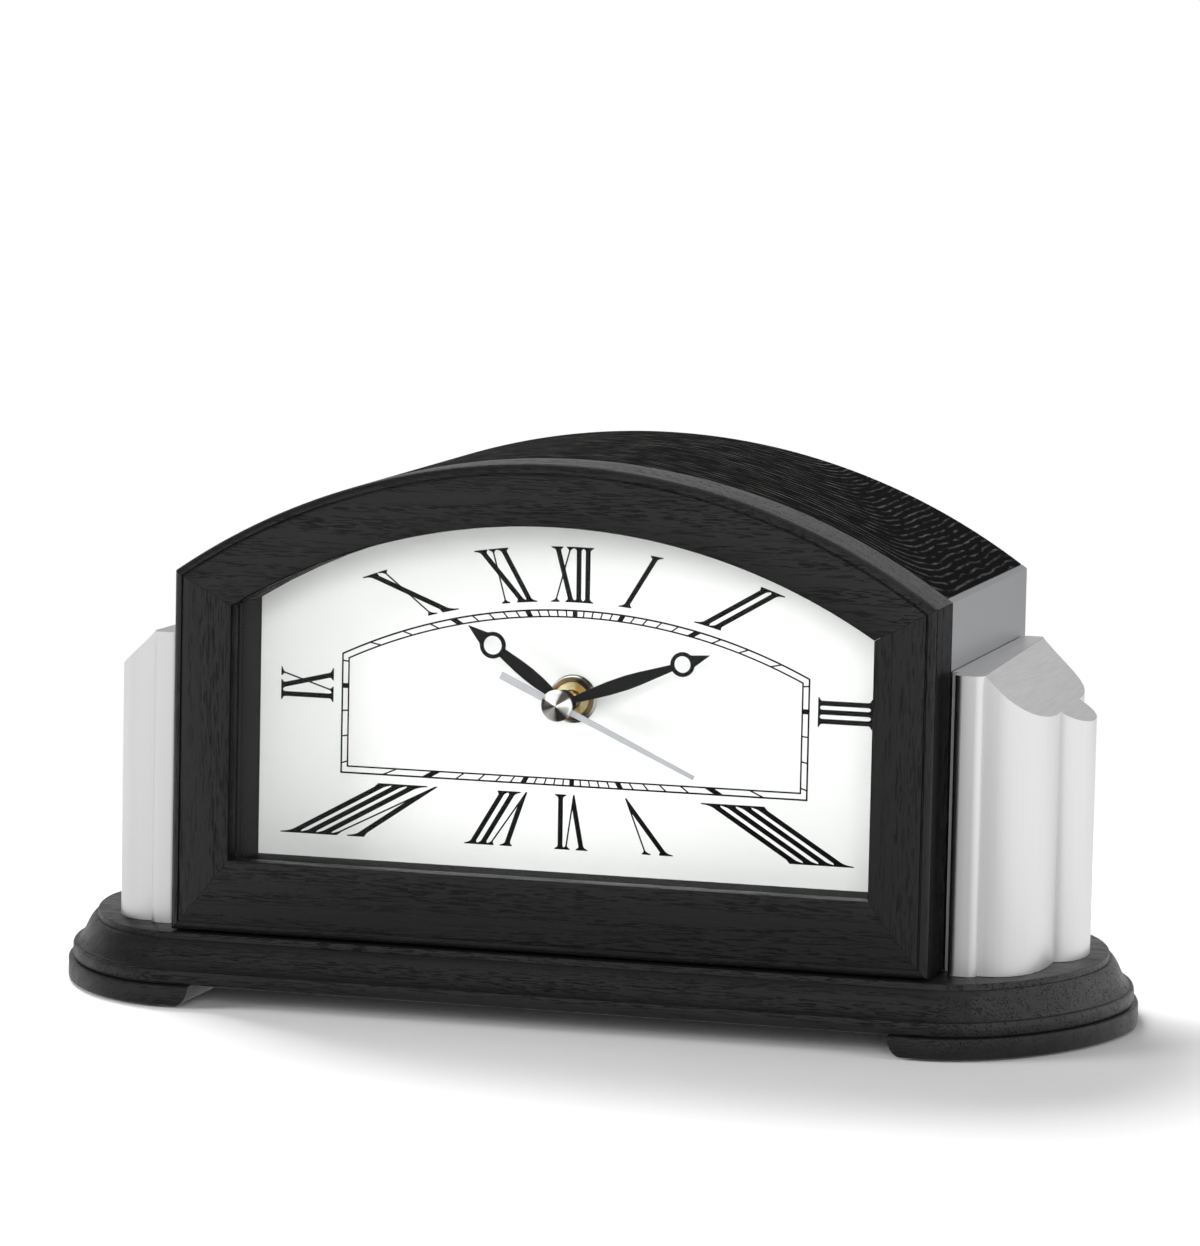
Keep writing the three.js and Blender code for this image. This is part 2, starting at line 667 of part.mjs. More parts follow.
function roundedSquare(size, corner, centreZ) {
  const h = size / 2 - corner;
  return [[h, -h, -0.5], [h, h, 0], [-h, h, 0.5], [-h, -h, 1]].flatMap(([x, z, turn]) => (
    arc(x, centreZ + z, corner, corner, turn * Math.PI, (turn + 0.5) * Math.PI, 3)));
}

function cellBay(front) {
  const half = CELL_RADIUS + 0.5;
  const z = dialCentre - CELL_DROP;
  const reach = MOVEMENT_SIZE / 2 - HOUSING_WALL;
  return box(-reach, reach, front, rearY, z - half, z + half);
}

function makeHousing() {
  const shell = runBack(roundedSquare(MOVEMENT_SIZE, MOVEMENT_CORNER, dialCentre), housingY, housingY + HOUSING_DEPTH);
  const bushFront = dialY - BUSH_PROUD;
  const bush = bar(BUSH_RADIUS, bushFront, housingY + HOUSING_WALL, 0, dialCentre, 32);
  const train = box(-TRAIN_HALF_WIDTH, TRAIN_HALF_WIDTH, housingY + HOUSING_WALL, rearY,
    dialCentre - TRAIN_BELOW, dialCentre + TRAIN_ABOVE);
  const bore = bar(BUSH_BORE, bushFront - 1, rearY, 0, dialCentre, 24);
  return cut(shell.add(bush), [train, cellBay(housingY + 1), bore]);
}

function makeCover() {
  const plate = runBack(roundedSquare(MOVEMENT_SIZE, MOVEMENT_CORNER, dialCentre), coverY, coverY + COVER_THICKNESS);
  const stemHole = bar(SETTING_STEM_RADIUS + FIT_GAP, frontY, rearY, 0, settingZ, 12);
  return cut(plate, [cellBay(frontY), stemHole]);
}

function ringPiece(outer, inner, front, rear, sides = 32) {
  return bar(outer, front, rear, 0, dialCentre, sides)
    .subtract(bar(inner, front - 1, rear + 1, 0, dialCentre, sides));
}

const washerFront = dialY - SEAT_GAP - WASHER_THICKNESS;

function makeNut() {
  const rear = washerFront - SEAT_GAP;
  return ringPiece(NUT_RADIUS, BUSH_RADIUS + SEAT_GAP, rear - NUT_THICKNESS, rear);
}

// Wheels stand one behind another in the housing, from the front back
const hourWheelY = housingY + HOUSING_WALL + 0.4;
const minutePinionY = hourWheelY + WHEEL_THICKNESS + 0.7;
const secondWheelY = minutePinionY + 2 * WHEEL_THICKNESS + 2.2;

// Straight-sided teeth with rounded play: root, flank up, tip, flank down
function toothedOutline(teeth, module, firstTooth, centreZ) {
  const pitchRadius = teeth * module / 2;
  const rootRadius = pitchRadius - 1.05 * module;
  const tipRadius = pitchRadius + 0.75 * module;
  const step = 2 * Math.PI / teeth;
  const corners = [[-0.27, rootRadius], [-0.11, tipRadius], [0.11, tipRadius], [0.27, rootRadius]];
  return Array.from({ length: teeth }, (_, i) => corners.map(([share, radius]) => {
    const angle = firstTooth + (i + share) * step;
    return at(radius * Math.cos(angle), centreZ + radius * Math.sin(angle));
  })).flat();
}

const UP = Math.PI / 2;
function makeHourWheel() {
  const wheel = runBack(toothedOutline(HOUR_WHEEL_TEETH, hourModule, UP, dialCentre),
    hourWheelY, hourWheelY + WHEEL_THICKNESS);
  const tube = bar(HOUR_TUBE_RADIUS, dialY - HOUR_PLANE - 0.8, hourWheelY + 0.3, 0, dialCentre, 20);
  return wheel.add(tube).subtract(bar(HOUR_TUBE_BORE, frontY, rearY, 0, dialCentre, 16));
}

function makeMinuteArbor() {
  const pinion = runBack(toothedOutline(MINUTE_PINION_TEETH, WHEEL_MODULE, UP, dialCentre),
    minutePinionY, minutePinionY + 2 * WHEEL_THICKNESS);
  const tube = bar(MINUTE_TUBE_RADIUS, dialY - MINUTE_PLANE - 0.8, minutePinionY + 0.3, 0, dialCentre, 20);
  return pinion.add(tube).subtract(bar(MINUTE_TUBE_BORE, frontY, rearY, 0, dialCentre, 12));
}

function makeSettingWheel() {
  const wheelGap = Math.PI / SETTING_WHEEL_TEETH;
  const pinionGap = Math.PI / SETTING_PINION_TEETH;
  const wheel = runBack(toothedOutline(SETTING_WHEEL_TEETH, WHEEL_MODULE, -UP + wheelGap, settingZ),
    minutePinionY + 0.3, minutePinionY + 0.3 + WHEEL_THICKNESS);
  const pinion = runBack(toothedOutline(SETTING_PINION_TEETH, hourModule, -UP + pinionGap, settingZ),
    hourWheelY - 0.2, minutePinionY + 0.4);
  const stem = bar(SETTING_STEM_RADIUS, minutePinionY + 0.5, coverY + COVER_THICKNESS + 1.5, 0, settingZ, 12);
  return join([wheel, pinion, stem]);
}

function makeSettingKnob() {
  const front = coverY + COVER_THICKNESS + 0.5;
  const ribs = toothedOutline(KNOB_RIBS, 2 * KNOB_RADIUS / (KNOB_RIBS + 2), 0, settingZ);
  const knob = runBack(ribs, front, front + KNOB_LENGTH);
  return knob.subtract(bar(SETTING_STEM_RADIUS + SEAT_GAP, front - 1, front + 1.5, 0, settingZ, 12));
}

function makeSecondArbor() {
  const wheel = runBack(toothedOutline(SECOND_WHEEL_TEETH, SECOND_WHEEL_MODULE, UP, dialCentre),
    secondWheelY, secondWheelY + WHEEL_THICKNESS);
  const arborFront = dialY - SECOND_PLANE - HAND_THICKNESS - 0.6;
  return wheel.add(bar(SECOND_ARBOR_RADIUS, arborFront, secondWheelY + 1.8, 0, dialCentre, 12));
}

const cellY = housingY + 1 + FIT_GAP + CELL_RADIUS;
const cellZ = dialCentre - CELL_DROP;

function makeCell() {
  const half = CELL_LENGTH / 2;
  return rod(CELL_RADIUS, -half, half - 1, cellY, cellZ, 24).add(rod(2.6, half - 1.1, half, cellY, cellZ, 12));
}

// A leaf against the wall of the bay, with a stud that meets the cell
function makeContact(side, studRadius) {
  const wall = MOVEMENT_SIZE / 2 - HOUSING_WALL - SEAT_GAP;
  const near = wall - CONTACT_THICKNESS;
  const half = CELL_RADIUS - 0.5;
  const [x0, x1] = side > 0 ? [near, wall] : [-wall, -near];
  const [s0, s1] = [CELL_LENGTH / 2 + SEAT_GAP, near + CONTACT_THICKNESS / 2];
  const leaf = box(x0, x1, cellY - half, cellY + half, cellZ - half, cellZ + half);
  return leaf.add(rod(studRadius, side > 0 ? s0 : -s1, side > 0 ? s1 : -s0, cellY, cellZ, 12));
}

// Hands, drawn pointing up from the dial centre at the origin

function handOutline(length) {
  const ringCentre = length - HAND_POINT_LENGTH;
  const bladeEnd = ringCentre - HAND_RING_RADIUS + 0.4;
  const bladeStart = HAND_COLLET_RADIUS - 0.5;
  const steps = 5;
  const side = Array.from({ length: steps + 1 }, (_, i) => {
    const share = i / steps;
    const swell = Math.sin(Math.PI * share ** 1.25);
    return at(0.5 + (HAND_BLADE_WIDTH / 2 - 0.5) * swell, bladeStart + (bladeEnd - bladeStart) * share);
  });
  return [...side, ...mirrored(side)];
}

function makePointedHand(length, bore) {
  const ringCentre = length - HAND_POINT_LENGTH;
  const pointBase = ringCentre + HAND_RING_RADIUS - 0.5;
  const point = [at(-HAND_POINT_HALF_WIDTH, pointBase), at(HAND_POINT_HALF_WIDTH, pointBase), at(0, length)];
  const front = 0;
  const rear = HAND_THICKNESS;
  const solids = [
    runBack(handOutline(length), front, rear),
    runBack(point, front, rear),
    bar(HAND_RING_RADIUS, front, rear, 0, ringCentre, 20),
    bar(HAND_COLLET_RADIUS, front, rear, 0, 0, 20),
    bar(bore + HAND_HUB_WALL, -HAND_HUB_DEPTH, rear, 0, 0, 16),
  ];
  return cut(join(solids), [
    bar(HAND_RING_RADIUS - HAND_RING_WIDTH, -1, 1, 0, ringCentre, 16),
    bar(bore, -1, 1, 0, 0, 20),
  ]);
}

function makeSecondHand() {
  const outline = [
    at(-SECOND_TAIL_HALF_WIDTH, -SECOND_TAIL),
    at(SECOND_TAIL_HALF_WIDTH, -SECOND_TAIL),
    at(SECOND_TIP_HALF_WIDTH, SECOND_LENGTH),
    at(-SECOND_TIP_HALF_WIDTH, SECOND_LENGTH),
  ];
  const boss = bar(SECOND_BOSS_RADIUS, 0, HAND_THICKNESS + FIT_GAP, 0, 0, 20);
  const blade = runBack(outline, 0, HAND_THICKNESS).add(boss);
  return blade.subtract(bar(SECOND_ARBOR_RADIUS + PRESS_CLEARANCE, -1, 2, 0, 0, 12));
}

// A low cone with a stepped rim, over the end of the seconds arbor
function makeSecondCap() {
  const rear = -SEAT_GAP;
  const bore = SECOND_ARBOR_RADIUS + SEAT_GAP;
  return turned([
    [0, -CAP_HEIGHT], [CAP_TIP_RADIUS, -CAP_HEIGHT], [CAP_RADIUS - CAP_RIM_WIDTH, -CAP_RIM_HEIGHT - 0.2],
    [CAP_RADIUS, -CAP_RIM_HEIGHT], [CAP_RADIUS, rear], [bore, rear], [bore, -CAP_BORE_DEPTH], [0, -CAP_BORE_DEPTH],
  ], 24);
}

// Loudspeakers

// The frame of a driver with its magnet riveted on: a flange, a dished basket and a ring-shaped gap for the coil
function makeBasket() {
  const rear = panelFrontY - SEAT_GAP;
  const flangeFront = rear - FLANGE_THICKNESS;
  const back = flangeFront - BASKET_DEPTH;
  const gapOuter = COIL_FORMER_RADIUS + COIL_ROOM_OUTSIDE;
  const gapInner = COIL_FORMER_RADIUS - COIL_ROOM_INSIDE;
  const gapEnd = back - MAGNET_DEPTH + 4;
  return turned([
    [0, back - MAGNET_DEPTH], [MAGNET_RADIUS, back - MAGNET_DEPTH], [MAGNET_RADIUS, back],
    [SPEAKER_HOLE + 1.6, flangeFront], [FLANGE_RADIUS, flangeFront], [FLANGE_RADIUS, rear],
    [SPEAKER_HOLE + 0.2, rear], [SPEAKER_HOLE + 0.2, flangeFront], [MAGNET_RADIUS - 1, back + 1],
    [gapOuter, back + 1], [gapOuter, gapEnd], [gapInner, gapEnd], [gapInner, back], [0, back],
  ], SPEAKER_SIDES);
}

function makeCone() {
  const rim = panelFrontY - CONE_SET_BACK;
  const neck = rim - CONE_RISE;
  const coilEnd = panelFrontY - FLANGE_THICKNESS - BASKET_DEPTH - 5;
  const r = COIL_FORMER_RADIUS;
  const bore = r - COIL_WALL;
  return turned([
    [0, neck + 3.1], [r * 0.55, neck + 2.4], [bore, neck + 0.3], [bore, coilEnd], [r, coilEnd],
    [r, neck - 0.4], [CONE_RADIUS, rim - 0.7], [CONE_RADIUS, rim], [r + 0.3, neck + 0.8],
    [r * 0.6, neck + 3.1], [0, neck + 3.8],
  ], SPEAKER_SIDES);
}

function makeSurround() {
  const y = panelFrontY - CONE_SET_BACK;
  const centre = CONE_RADIUS + FIT_GAP + SURROUND_RADIUS;
  const outer = arc(centre, y, SURROUND_RADIUS, SURROUND_RADIUS, 0, Math.PI, 4);
  const inner = arc(centre, y, SURROUND_RADIUS - 0.5, SURROUND_RADIUS - 0.5, Math.PI, 0, 4);
  return turned([...outer, ...inner].map((p) => [p.x, p.y]), SPEAKER_SIDES, true);
}

// A disc with level slots, each as long as the disc is wide there
function makeGrille() {
  const rear = panelRearY - SEAT_GAP;
  const reach = GRILLE_RADIUS - GRILLE_RIM;
  const end = GRILLE_SLOT_WIDTH / 2;
  const rows = Math.floor((reach - GRILLE_SLOT_WIDTH) / GRILLE_SLOT_PITCH);
  const slots = [];
  for (let row = -rows; row <= rows; row += 1) {
    const z = row * GRILLE_SLOT_PITCH;
    const half = Math.sqrt(reach ** 2 - (Math.abs(z) + end) ** 2) - end;
    const right = arc(half, z, end, end, -Math.PI / 2, Math.PI / 2, 3);
    slots.push([...right, ...right.map((p) => at(-p.x, 2 * z - p.y))]);
  }
  const rim = arc(0, 0, GRILLE_RADIUS, GRILLE_RADIUS, 0, 2 * Math.PI, GRILLE_SIDES).slice(1);
  return runBack(rim, rear - GRILLE_THICKNESS, rear, slots);
}

// Rear panel: a moulded board with bosses for the circuit board

const portX = 2.5 * BUTTON_PITCH;
const buttonPlaces = [-1.5, -0.5, 0.5, 1.5].map((share) => share * BUTTON_PITCH);
const bossPlaces = [-1, 1].flatMap((side) => [3.5, BOARD_HEIGHT - 3.5].map((rise) => (
  [side * (boardHalfWidth - BOARD_BOSS_INSET), floorTop + rise + 1])));

function makeRearPanel() {
  const outline = archOutline(insideHalfWidth - SEAT_GAP, caseBottom, insideRadius - SEAT_GAP);
  const body = runBack(outline, panelFrontY, panelRearY);
  const bosses = bossPlaces.map(([x, z]) => bar(BOARD_BOSS_RADIUS, boardY + BOARD_THICKNESS + SEAT_GAP, panelFrontY + 1, x, z, 8));
  const recess = panelRearY - GRILLE_THICKNESS - 2 * SEAT_GAP;
  const speakerCuts = [-speakerX, speakerX].flatMap((x) => [
    bar(SPEAKER_HOLE, panelFrontY - 1, rearY, x, speakerZ, 24),
    bar(GRILLE_RADIUS + FIT_GAP, recess, rearY, x, speakerZ, GRILLE_SIDES),
  ]);
  const door = box(-doorHalfWidth, doorHalfWidth, 0, rearY, doorBottom, doorTop);
  const buttonHoles = buttonPlaces.map((x) => bar(BUTTON_RADIUS + FIT_GAP, 0, rearY, x, buttonZ, 16));
  const portSlot = box(portX - PORT_WIDTH / 2 - FIT_GAP, portX + PORT_WIDTH / 2 + FIT_GAP, 0, rearY,
    buttonZ - PORT_HEIGHT / 2 - FIT_GAP, buttonZ + PORT_HEIGHT / 2 + FIT_GAP);
  const screwHoles = panelScrewPlaces.map(([x, z]) => bar(SCREW_HOLE_RADIUS, 0, rearY, x, z, 8));
  return cut(join([body, ...bosses]), [...speakerCuts, door, ...buttonHoles, portSlot, ...screwHoles]);
}

const doorMiddle = (doorBottom + doorTop) / 2;

function makeDoor() {
  const gap = 2 * FIT_GAP;
  return box(-doorHalfWidth + gap, doorHalfWidth - gap, panelFrontY, panelRearY, doorBottom + gap, doorTop - gap);
}

// One leaf is on the panel and has the odd knuckles, and the other is on the door and has the even ones
function makeHingeLeaf(side) {
  const half = HINGE_LENGTH / 2;
  const pitch = HINGE_LENGTH / HINGE_KNUCKLES;
  const y0 = panelRearY + SEAT_GAP;
  const y1 = y0 + HINGE_PLATE;
  const span = (a, b) => [Math.min(a, b), Math.max(a, b)];
  const edge = hingeX + side * HINGE_LEAF;
  const root = hingeX + side * (HINGE_RADIUS + FIT_GAP);
  const knuckles = [];
  for (let i = side < 0 ? 0 : 1; i < HINGE_KNUCKLES; i += 2) {
    const z0 = doorMiddle - half + i * pitch + (side < 0 ? 0 : FIT_GAP);
    const z1 = doorMiddle - half + (i + 1) * pitch - (side < 0 ? 0 : FIT_GAP);
    knuckles.push(post(HINGE_RADIUS, z0, z1, hingeX, hingeY, 12), box(...span(hingeX, root), y0, y1, z0, z1));
  }
  const plate = box(...span(edge, root), y0, y1, doorMiddle - half, doorMiddle + half);
  const bore = post(HINGE_PIN_RADIUS + 0.15, doorMiddle - half - 1, doorMiddle + half + 1, hingeX, hingeY, 8);
  return join([plate, ...knuckles]).subtract(bore);
}

function makeHingePin() {
  const top = doorMiddle + HINGE_LENGTH / 2;
  return join([
    post(HINGE_PIN_RADIUS, doorMiddle - HINGE_LENGTH / 2, top + 0.5, hingeX, hingeY, 8),
    post(HINGE_PIN_RADIUS + 0.5, top + SEAT_GAP, top + 0.8, hingeX, hingeY, 10),
  ]);
}

function makePull() {
  const y = panelRearY + SEAT_GAP;
  const piece = turned([
    [0, 0], [2.4, 0], [1.9, PULL_LENGTH * 0.4], [PULL_RADIUS, PULL_LENGTH * 0.62],
    [PULL_RADIUS, PULL_LENGTH * 0.85], [PULL_RADIUS * 0.6, PULL_LENGTH], [0, PULL_LENGTH],
  ], 20);
  return piece.translate([doorHalfWidth - PULL_INSET, y, doorMiddle]);
}

// A round cap that stands proud, with a collar behind the panel and a stem to its switch
function makeButton(x) {
  const collarRear = panelFrontY - SEAT_GAP;
  return join([
    bar(BUTTON_RADIUS, collarRear - 0.5, panelRearY + BUTTON_PROUD, x, buttonZ, 16),
    bar(BUTTON_RADIUS + 1, collarRear - 1, collarRear, x, buttonZ, 12),
    bar(1.6, switchRear + BUTTON_TRAVEL + 0.2, collarRear - 0.9, x, buttonZ, 8),
  ]);
}

const switchRear = boardY + BOARD_THICKNESS + SWITCH_DEPTH;

function makeAmplifier() {
  const z0 = floorTop + SEAT_GAP;
  const slab = box(-boardHalfWidth, boardHalfWidth, boardY, boardY + BOARD_THICKNESS, z0, z0 + BOARD_HEIGHT);
  const rear = boardY + BOARD_THICKNESS - 0.1;
  const seat = boardY + 0.1;
  const half = SWITCH_HALF_WIDTH;
  const switches = buttonPlaces.map((x) => box(x - half, x + half, rear, switchRear, buttonZ - half, buttonZ + half));
  const low = z0 + CHIP_RISE;
  const high = low + CHIP_HEIGHT;
  const chips = [-2, 0, 1.6].map((share) => share * BUTTON_PITCH)
    .map((x) => box(x - CHIP_HALF_WIDTH, x + CHIP_HALF_WIDTH, boardY - CHIP_DEPTH, seat, low, high));
  const capacitors = [-14 / 15, 8 / 3].map((share) => share * BUTTON_PITCH)
    .map((x) => bar(CAPACITOR_RADIUS, boardY - CAPACITOR_DEPTH, seat, x, (low + high) / 2, 12));
  return join([slab, ...switches, ...chips, ...capacitors]);
}

function makePort() {
  const front = boardY + BOARD_THICKNESS + SEAT_GAP;
  const halfW = PORT_WIDTH / 2;
  const halfH = PORT_HEIGHT / 2;
  const shell = box(portX - halfW, portX + halfW, front, panelRearY - SEAT_GAP, buttonZ - halfH, buttonZ + halfH);
  const mouth = box(portX - halfW + 0.6, portX + halfW - 0.6, panelRearY - 6, rearY, buttonZ - halfH + 0.6,
    buttonZ + halfH - 0.6);
  return shell.subtract(mouth);
}

function makePack() {
  const z = floorTop + SEAT_GAP;
  return box(-PACK_LENGTH / 2, PACK_LENGTH / 2, PACK_FRONT, PACK_FRONT + PACK_DEPTH, z, z + PACK_HEIGHT);
}

// The scene: each piece under its own name

const clock = new THREE.Group();
clock.name = 'speaker_clock';

function piece(name, body, material, parent = clock) {
  const mesh = new THREE.Mesh(geometryOf(body), material);
  mesh.name = name;
  parent.add(mesh);
  return mesh;
}

function addBase() {
  piece('plinth', makePlinth(), blackOak());
  piece('foot_left', makeFoot(-1), blackOak());
  piece('foot_right', makeFoot(1), blackOak());
  for (const [name, end] of Object.entries(padPlaces)) {
    piece(`foot_pad_${name}_left`, makePad(-1, end), rubber());
    piece(`foot_pad_${name}_right`, makePad(1, end), rubber());
  }
}

function addCase() {
  const rails = makeFrameRails();
  piece('frame_arch_rail', rails.arch, blackOak());
  piece('frame_stile_left', rails.left, blackOak());
  piece('frame_stile_right', rails.right, blackOak());
  piece('frame_bottom_rail', rails.bottom, blackOak());
  piece('case_top', makeCaseTop(), oakVeneer());
  piece('case_cheek_left', makeCheek(-1), darkAluminium());
  piece('case_cheek_right', makeCheek(1), darkAluminium());
  piece('case_floor', makeFloor(), board());
  piece('rear_batten_left', makeBatten(-1), board());
  piece('rear_batten_right', makeBatten(1), board());
  piece('column_left', makeColumn(-1), satinAluminium());
  piece('column_right', makeColumn(1), satinAluminium());
}

function addDial() {
  piece('dial_glass', makeGlass(), clearGlass());
  piece('dial_surround', makeSurroundWall(), blackPaint());
  piece('dial_plate', makeDialPlate(), whiteEnamel());
  piece('dial_backer', makeDialBacker(), board());
  piece('dial_washer', ringPiece(WASHER_RADIUS, BUSH_RADIUS + SEAT_GAP, washerFront, dialY - SEAT_GAP), steel());
  piece('centre_nut', makeNut(), brass());
}

function addMovement() {
  piece('movement_housing', makeHousing(), blackPlastic());
  piece('movement_cover', makeCover(), blackPlastic());
  piece('cell', makeCell(), cellWrap());
  piece('cell_contact_positive', makeContact(1, 2.4), steel());
  piece('cell_contact_negative', makeContact(-1, 3), steel());
  piece('hour_wheel', makeHourWheel(), brass());
  piece('minute_arbor', makeMinuteArbor(), brass());
  piece('second_arbor', makeSecondArbor(), steel());
  piece('setting_wheel', makeSettingWheel(), brass());
  piece('setting_knob', makeSettingKnob(), blackPlastic());
}

// A clockwise turn, seen from the front, is a positive turn about Y
function addHands() {
  const minutes = TIME_MINUTES / 60;
  const hands = [
    [HOUR_PLANE, (TIME_HOURS + minutes) / 12, [
      ['hour_hand', makePointedHand(HOUR_LENGTH, HOUR_TUBE_RADIUS + PRESS_CLEARANCE), blackPaint()],
    ]],
    [MINUTE_PLANE, minutes, [
      ['minute_hand', makePointedHand(MINUTE_LENGTH, MINUTE_TUBE_RADIUS + PRESS_CLEARANCE), blackPaint()],
    ]],
    [SECOND_PLANE, TIME_SECONDS / 60, [
      ['second_hand', makeSecondHand(), steel()],
      ['second_cap', makeSecondCap(), steel()],
    ]],
  ];
  for (const [plane, turn, pieces] of hands) {
    const carrier = new THREE.Group();
    carrier.position.set(0, dialY - plane - HAND_THICKNESS, dialCentre);
    carrier.rotation.y = 2 * Math.PI * turn;
    clock.add(carrier);
    for (const [name, body, material] of pieces) piece(name, body, material, carrier);
  }
}

function addSpeaker(name, x) {
  const carrier = new THREE.Group();
  carrier.position.set(x, 0, speakerZ);
  clock.add(carrier);
  piece(`speaker_basket_${name}`, makeBasket(), blackPaint(), carrier);
  piece(`speaker_cone_${name}`, makeCone(), paperPulp(), carrier);
  piece(`speaker_surround_${name}`, makeSurround(), rubber(), carrier);
  piece(`grille_${name}`, makeGrille(), blackPaint(), carrier);
}

function addRear() {
  piece('rear_panel', makeRearPanel(), blackPlastic());
  piece('rear_door', makeDoor(), blackPlastic());
  piece('hinge_leaf_fixed', makeHingeLeaf(-1), brass());
  piece('hinge_leaf_door', makeHingeLeaf(1), brass());
  piece('hinge_pin', makeHingePin(), steel());
  piece('door_pull', makePull(), brass());
  const names = ['power_button', 'pairing_button', 'volume_down_button', 'volume_up_button'];
  names.forEach((name, i) => piece(name, makeButton(buttonPlaces[i]), blackPlastic()));
  piece('amplifier_board', makeAmplifier(), circuitGreen());
  piece('charging_port', makePort(), steel());
  piece('rechargeable_pack', makePack(), cellWrap());
}

addBase();
addCase();
addDial();
addMovement();
addHands();
addSpeaker('left', -speakerX);
addSpeaker('right', speakerX);
addRear();

export default clock;
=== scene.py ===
"""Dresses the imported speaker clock: finer shapes where it shows most, a finish on every piece, and the studio.

Lengths in the classes are millimetres in the frame of the part: +Z up, the front faces -Y, the origin is on the
floor under the middle of the base. The studio's lamps, card and tones are placed in metres.
"""

import json
import logging
import math
from dataclasses import dataclass
from enum import Enum

import bmesh
import bpy
from mathutils import Matrix, Vector

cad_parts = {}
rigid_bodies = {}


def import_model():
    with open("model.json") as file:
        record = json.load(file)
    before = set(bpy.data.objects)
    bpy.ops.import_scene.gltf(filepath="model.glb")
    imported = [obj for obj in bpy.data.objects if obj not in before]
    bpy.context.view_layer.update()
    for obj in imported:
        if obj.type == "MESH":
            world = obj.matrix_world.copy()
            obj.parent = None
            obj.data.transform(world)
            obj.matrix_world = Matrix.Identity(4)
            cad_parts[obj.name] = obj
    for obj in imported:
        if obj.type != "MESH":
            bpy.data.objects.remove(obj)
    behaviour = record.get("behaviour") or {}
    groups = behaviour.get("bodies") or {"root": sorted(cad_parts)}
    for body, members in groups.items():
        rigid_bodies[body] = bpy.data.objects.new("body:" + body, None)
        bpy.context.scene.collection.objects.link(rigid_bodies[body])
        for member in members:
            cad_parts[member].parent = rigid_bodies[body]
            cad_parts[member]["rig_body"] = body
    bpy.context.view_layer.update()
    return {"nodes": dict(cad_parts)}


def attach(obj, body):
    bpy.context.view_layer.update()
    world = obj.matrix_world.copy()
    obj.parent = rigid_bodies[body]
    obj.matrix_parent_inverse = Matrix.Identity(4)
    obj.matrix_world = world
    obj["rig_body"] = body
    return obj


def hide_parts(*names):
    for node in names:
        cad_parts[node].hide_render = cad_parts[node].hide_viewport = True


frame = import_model()

log = logging.getLogger("speaker_clock")

Tree = bpy.types.NodeTree
Socket = bpy.types.NodeSocket
Piece = bpy.types.Object
Colour = str | bpy.types.NodeSocket
Pairs = list[tuple[float, float]]
Ring = list[tuple[float, float, float]]

MM = 0.001
# The height of the hands' axis, and the arch that the frame and the case top share.
AXIS_HEIGHT = 88.2
ARCH_RADIUS = 187.63
ARCH_CENTRE = -32.43
# How far apart a wave texture of scale 1 puts its bands, in millimetres.
WAVE_SPACING = 314.0
WHITE = (1.0, 1.0, 1.0, 1.0)


# Nodes of a material


def linear(hex_colour: str) -> tuple[float, float, float, float]:
    """Turns an sRGB hex colour to the linear values that a shader takes.

    Args:
        hex_colour: six hex digits after a hash sign.

    Returns:
        Red, green, blue and an alpha of 1.
    """
    channels = [int(hex_colour[i : i + 2], 16) / 255 for i in (1, 3, 5)]
    turned = [c / 12.92 if c <= 0.04045 else ((c + 0.055) / 1.055) ** 2.4 for c in channels]
    return (*turned, 1.0)


def add_node(
    tree: Tree, kind: str, settings: dict | None = None, inputs: dict | None = None, stops: list | None = None
) -> bpy.types.Node:
    """Adds one node with its settings and what feeds it.

    Args:
        tree: the material's or world's node tree.
        kind: the node's type name after the ShaderNode that each begins with.
        settings: attribute names with their values.
        inputs: socket names or numbers, each with a value, a socket that feeds it, or a node whose first
            output does.
        stops: places and colours of a colour ramp.

    Returns:
        The new node.
    """
    node = tree.nodes.new("ShaderNode" + kind)
    for name, value in (settings or {}).items():
        setattr(node, name, value)
    for name, value in (inputs or {}).items():
        source = value.outputs[0] if isinstance(value, bpy.types.Node) else value
        if isinstance(source, bpy.types.NodeSocket):
            tree.links.new(source, node.inputs[name])
        else:
            node.inputs[name].default_value = source
    if stops:
        ramp = node.color_ramp.elements
        while len(ramp) < len(stops):
            ramp.new(0.5)
        for element, (place, colour) in zip(ramp, stops):
            element.position = place
            element.color = colour
    return node


def bare_material(name: str) -> bpy.types.Material:
    """Makes a material with an empty node tree."""
    material = bpy.data.materials.new(name)
    material.use_nodes = True
    material.node_tree.nodes.clear()
    return material


def graded(tree: Tree, value: Socket, tones: tuple, reach: float = 1.5) -> bpy.types.Node:
    """Turns a value to a grey that changes along it.

    Args:
        tree: the node tree.
        value: the value, from -reach to reach.
        tones: pairs of a value and its grey.
        reach: the largest value.

    Returns:
        The node that gives the grey.
    """
    share = add_node(tree, "MapRange", inputs={"Value": value, "From Min": -reach, "From Max": reach})
    stops = [((way + reach) / (2 * reach), (tone, tone, tone, 1.0)) for way, tone in tones]
    return add_node(tree, "ValToRGB", inputs={0: share}, stops=stops)


class Run(Enum):
    """Which way a grain or a brushed surface runs: the axis along it and the two across it."""

    ALONG_X = (0, 1, 2)
    ALONG_Y = (1, 0, 2)
    ALONG_Z = (2, 0, 1)

    def stretch(self, length: float, width: float) -> tuple[float, ...]:
        """Gives the mapping scale for marks of that length and width in millimetres."""
        scale = [1000 / width] * 3
        scale[self.value[0]] = 1000 / length
        return tuple(scale)


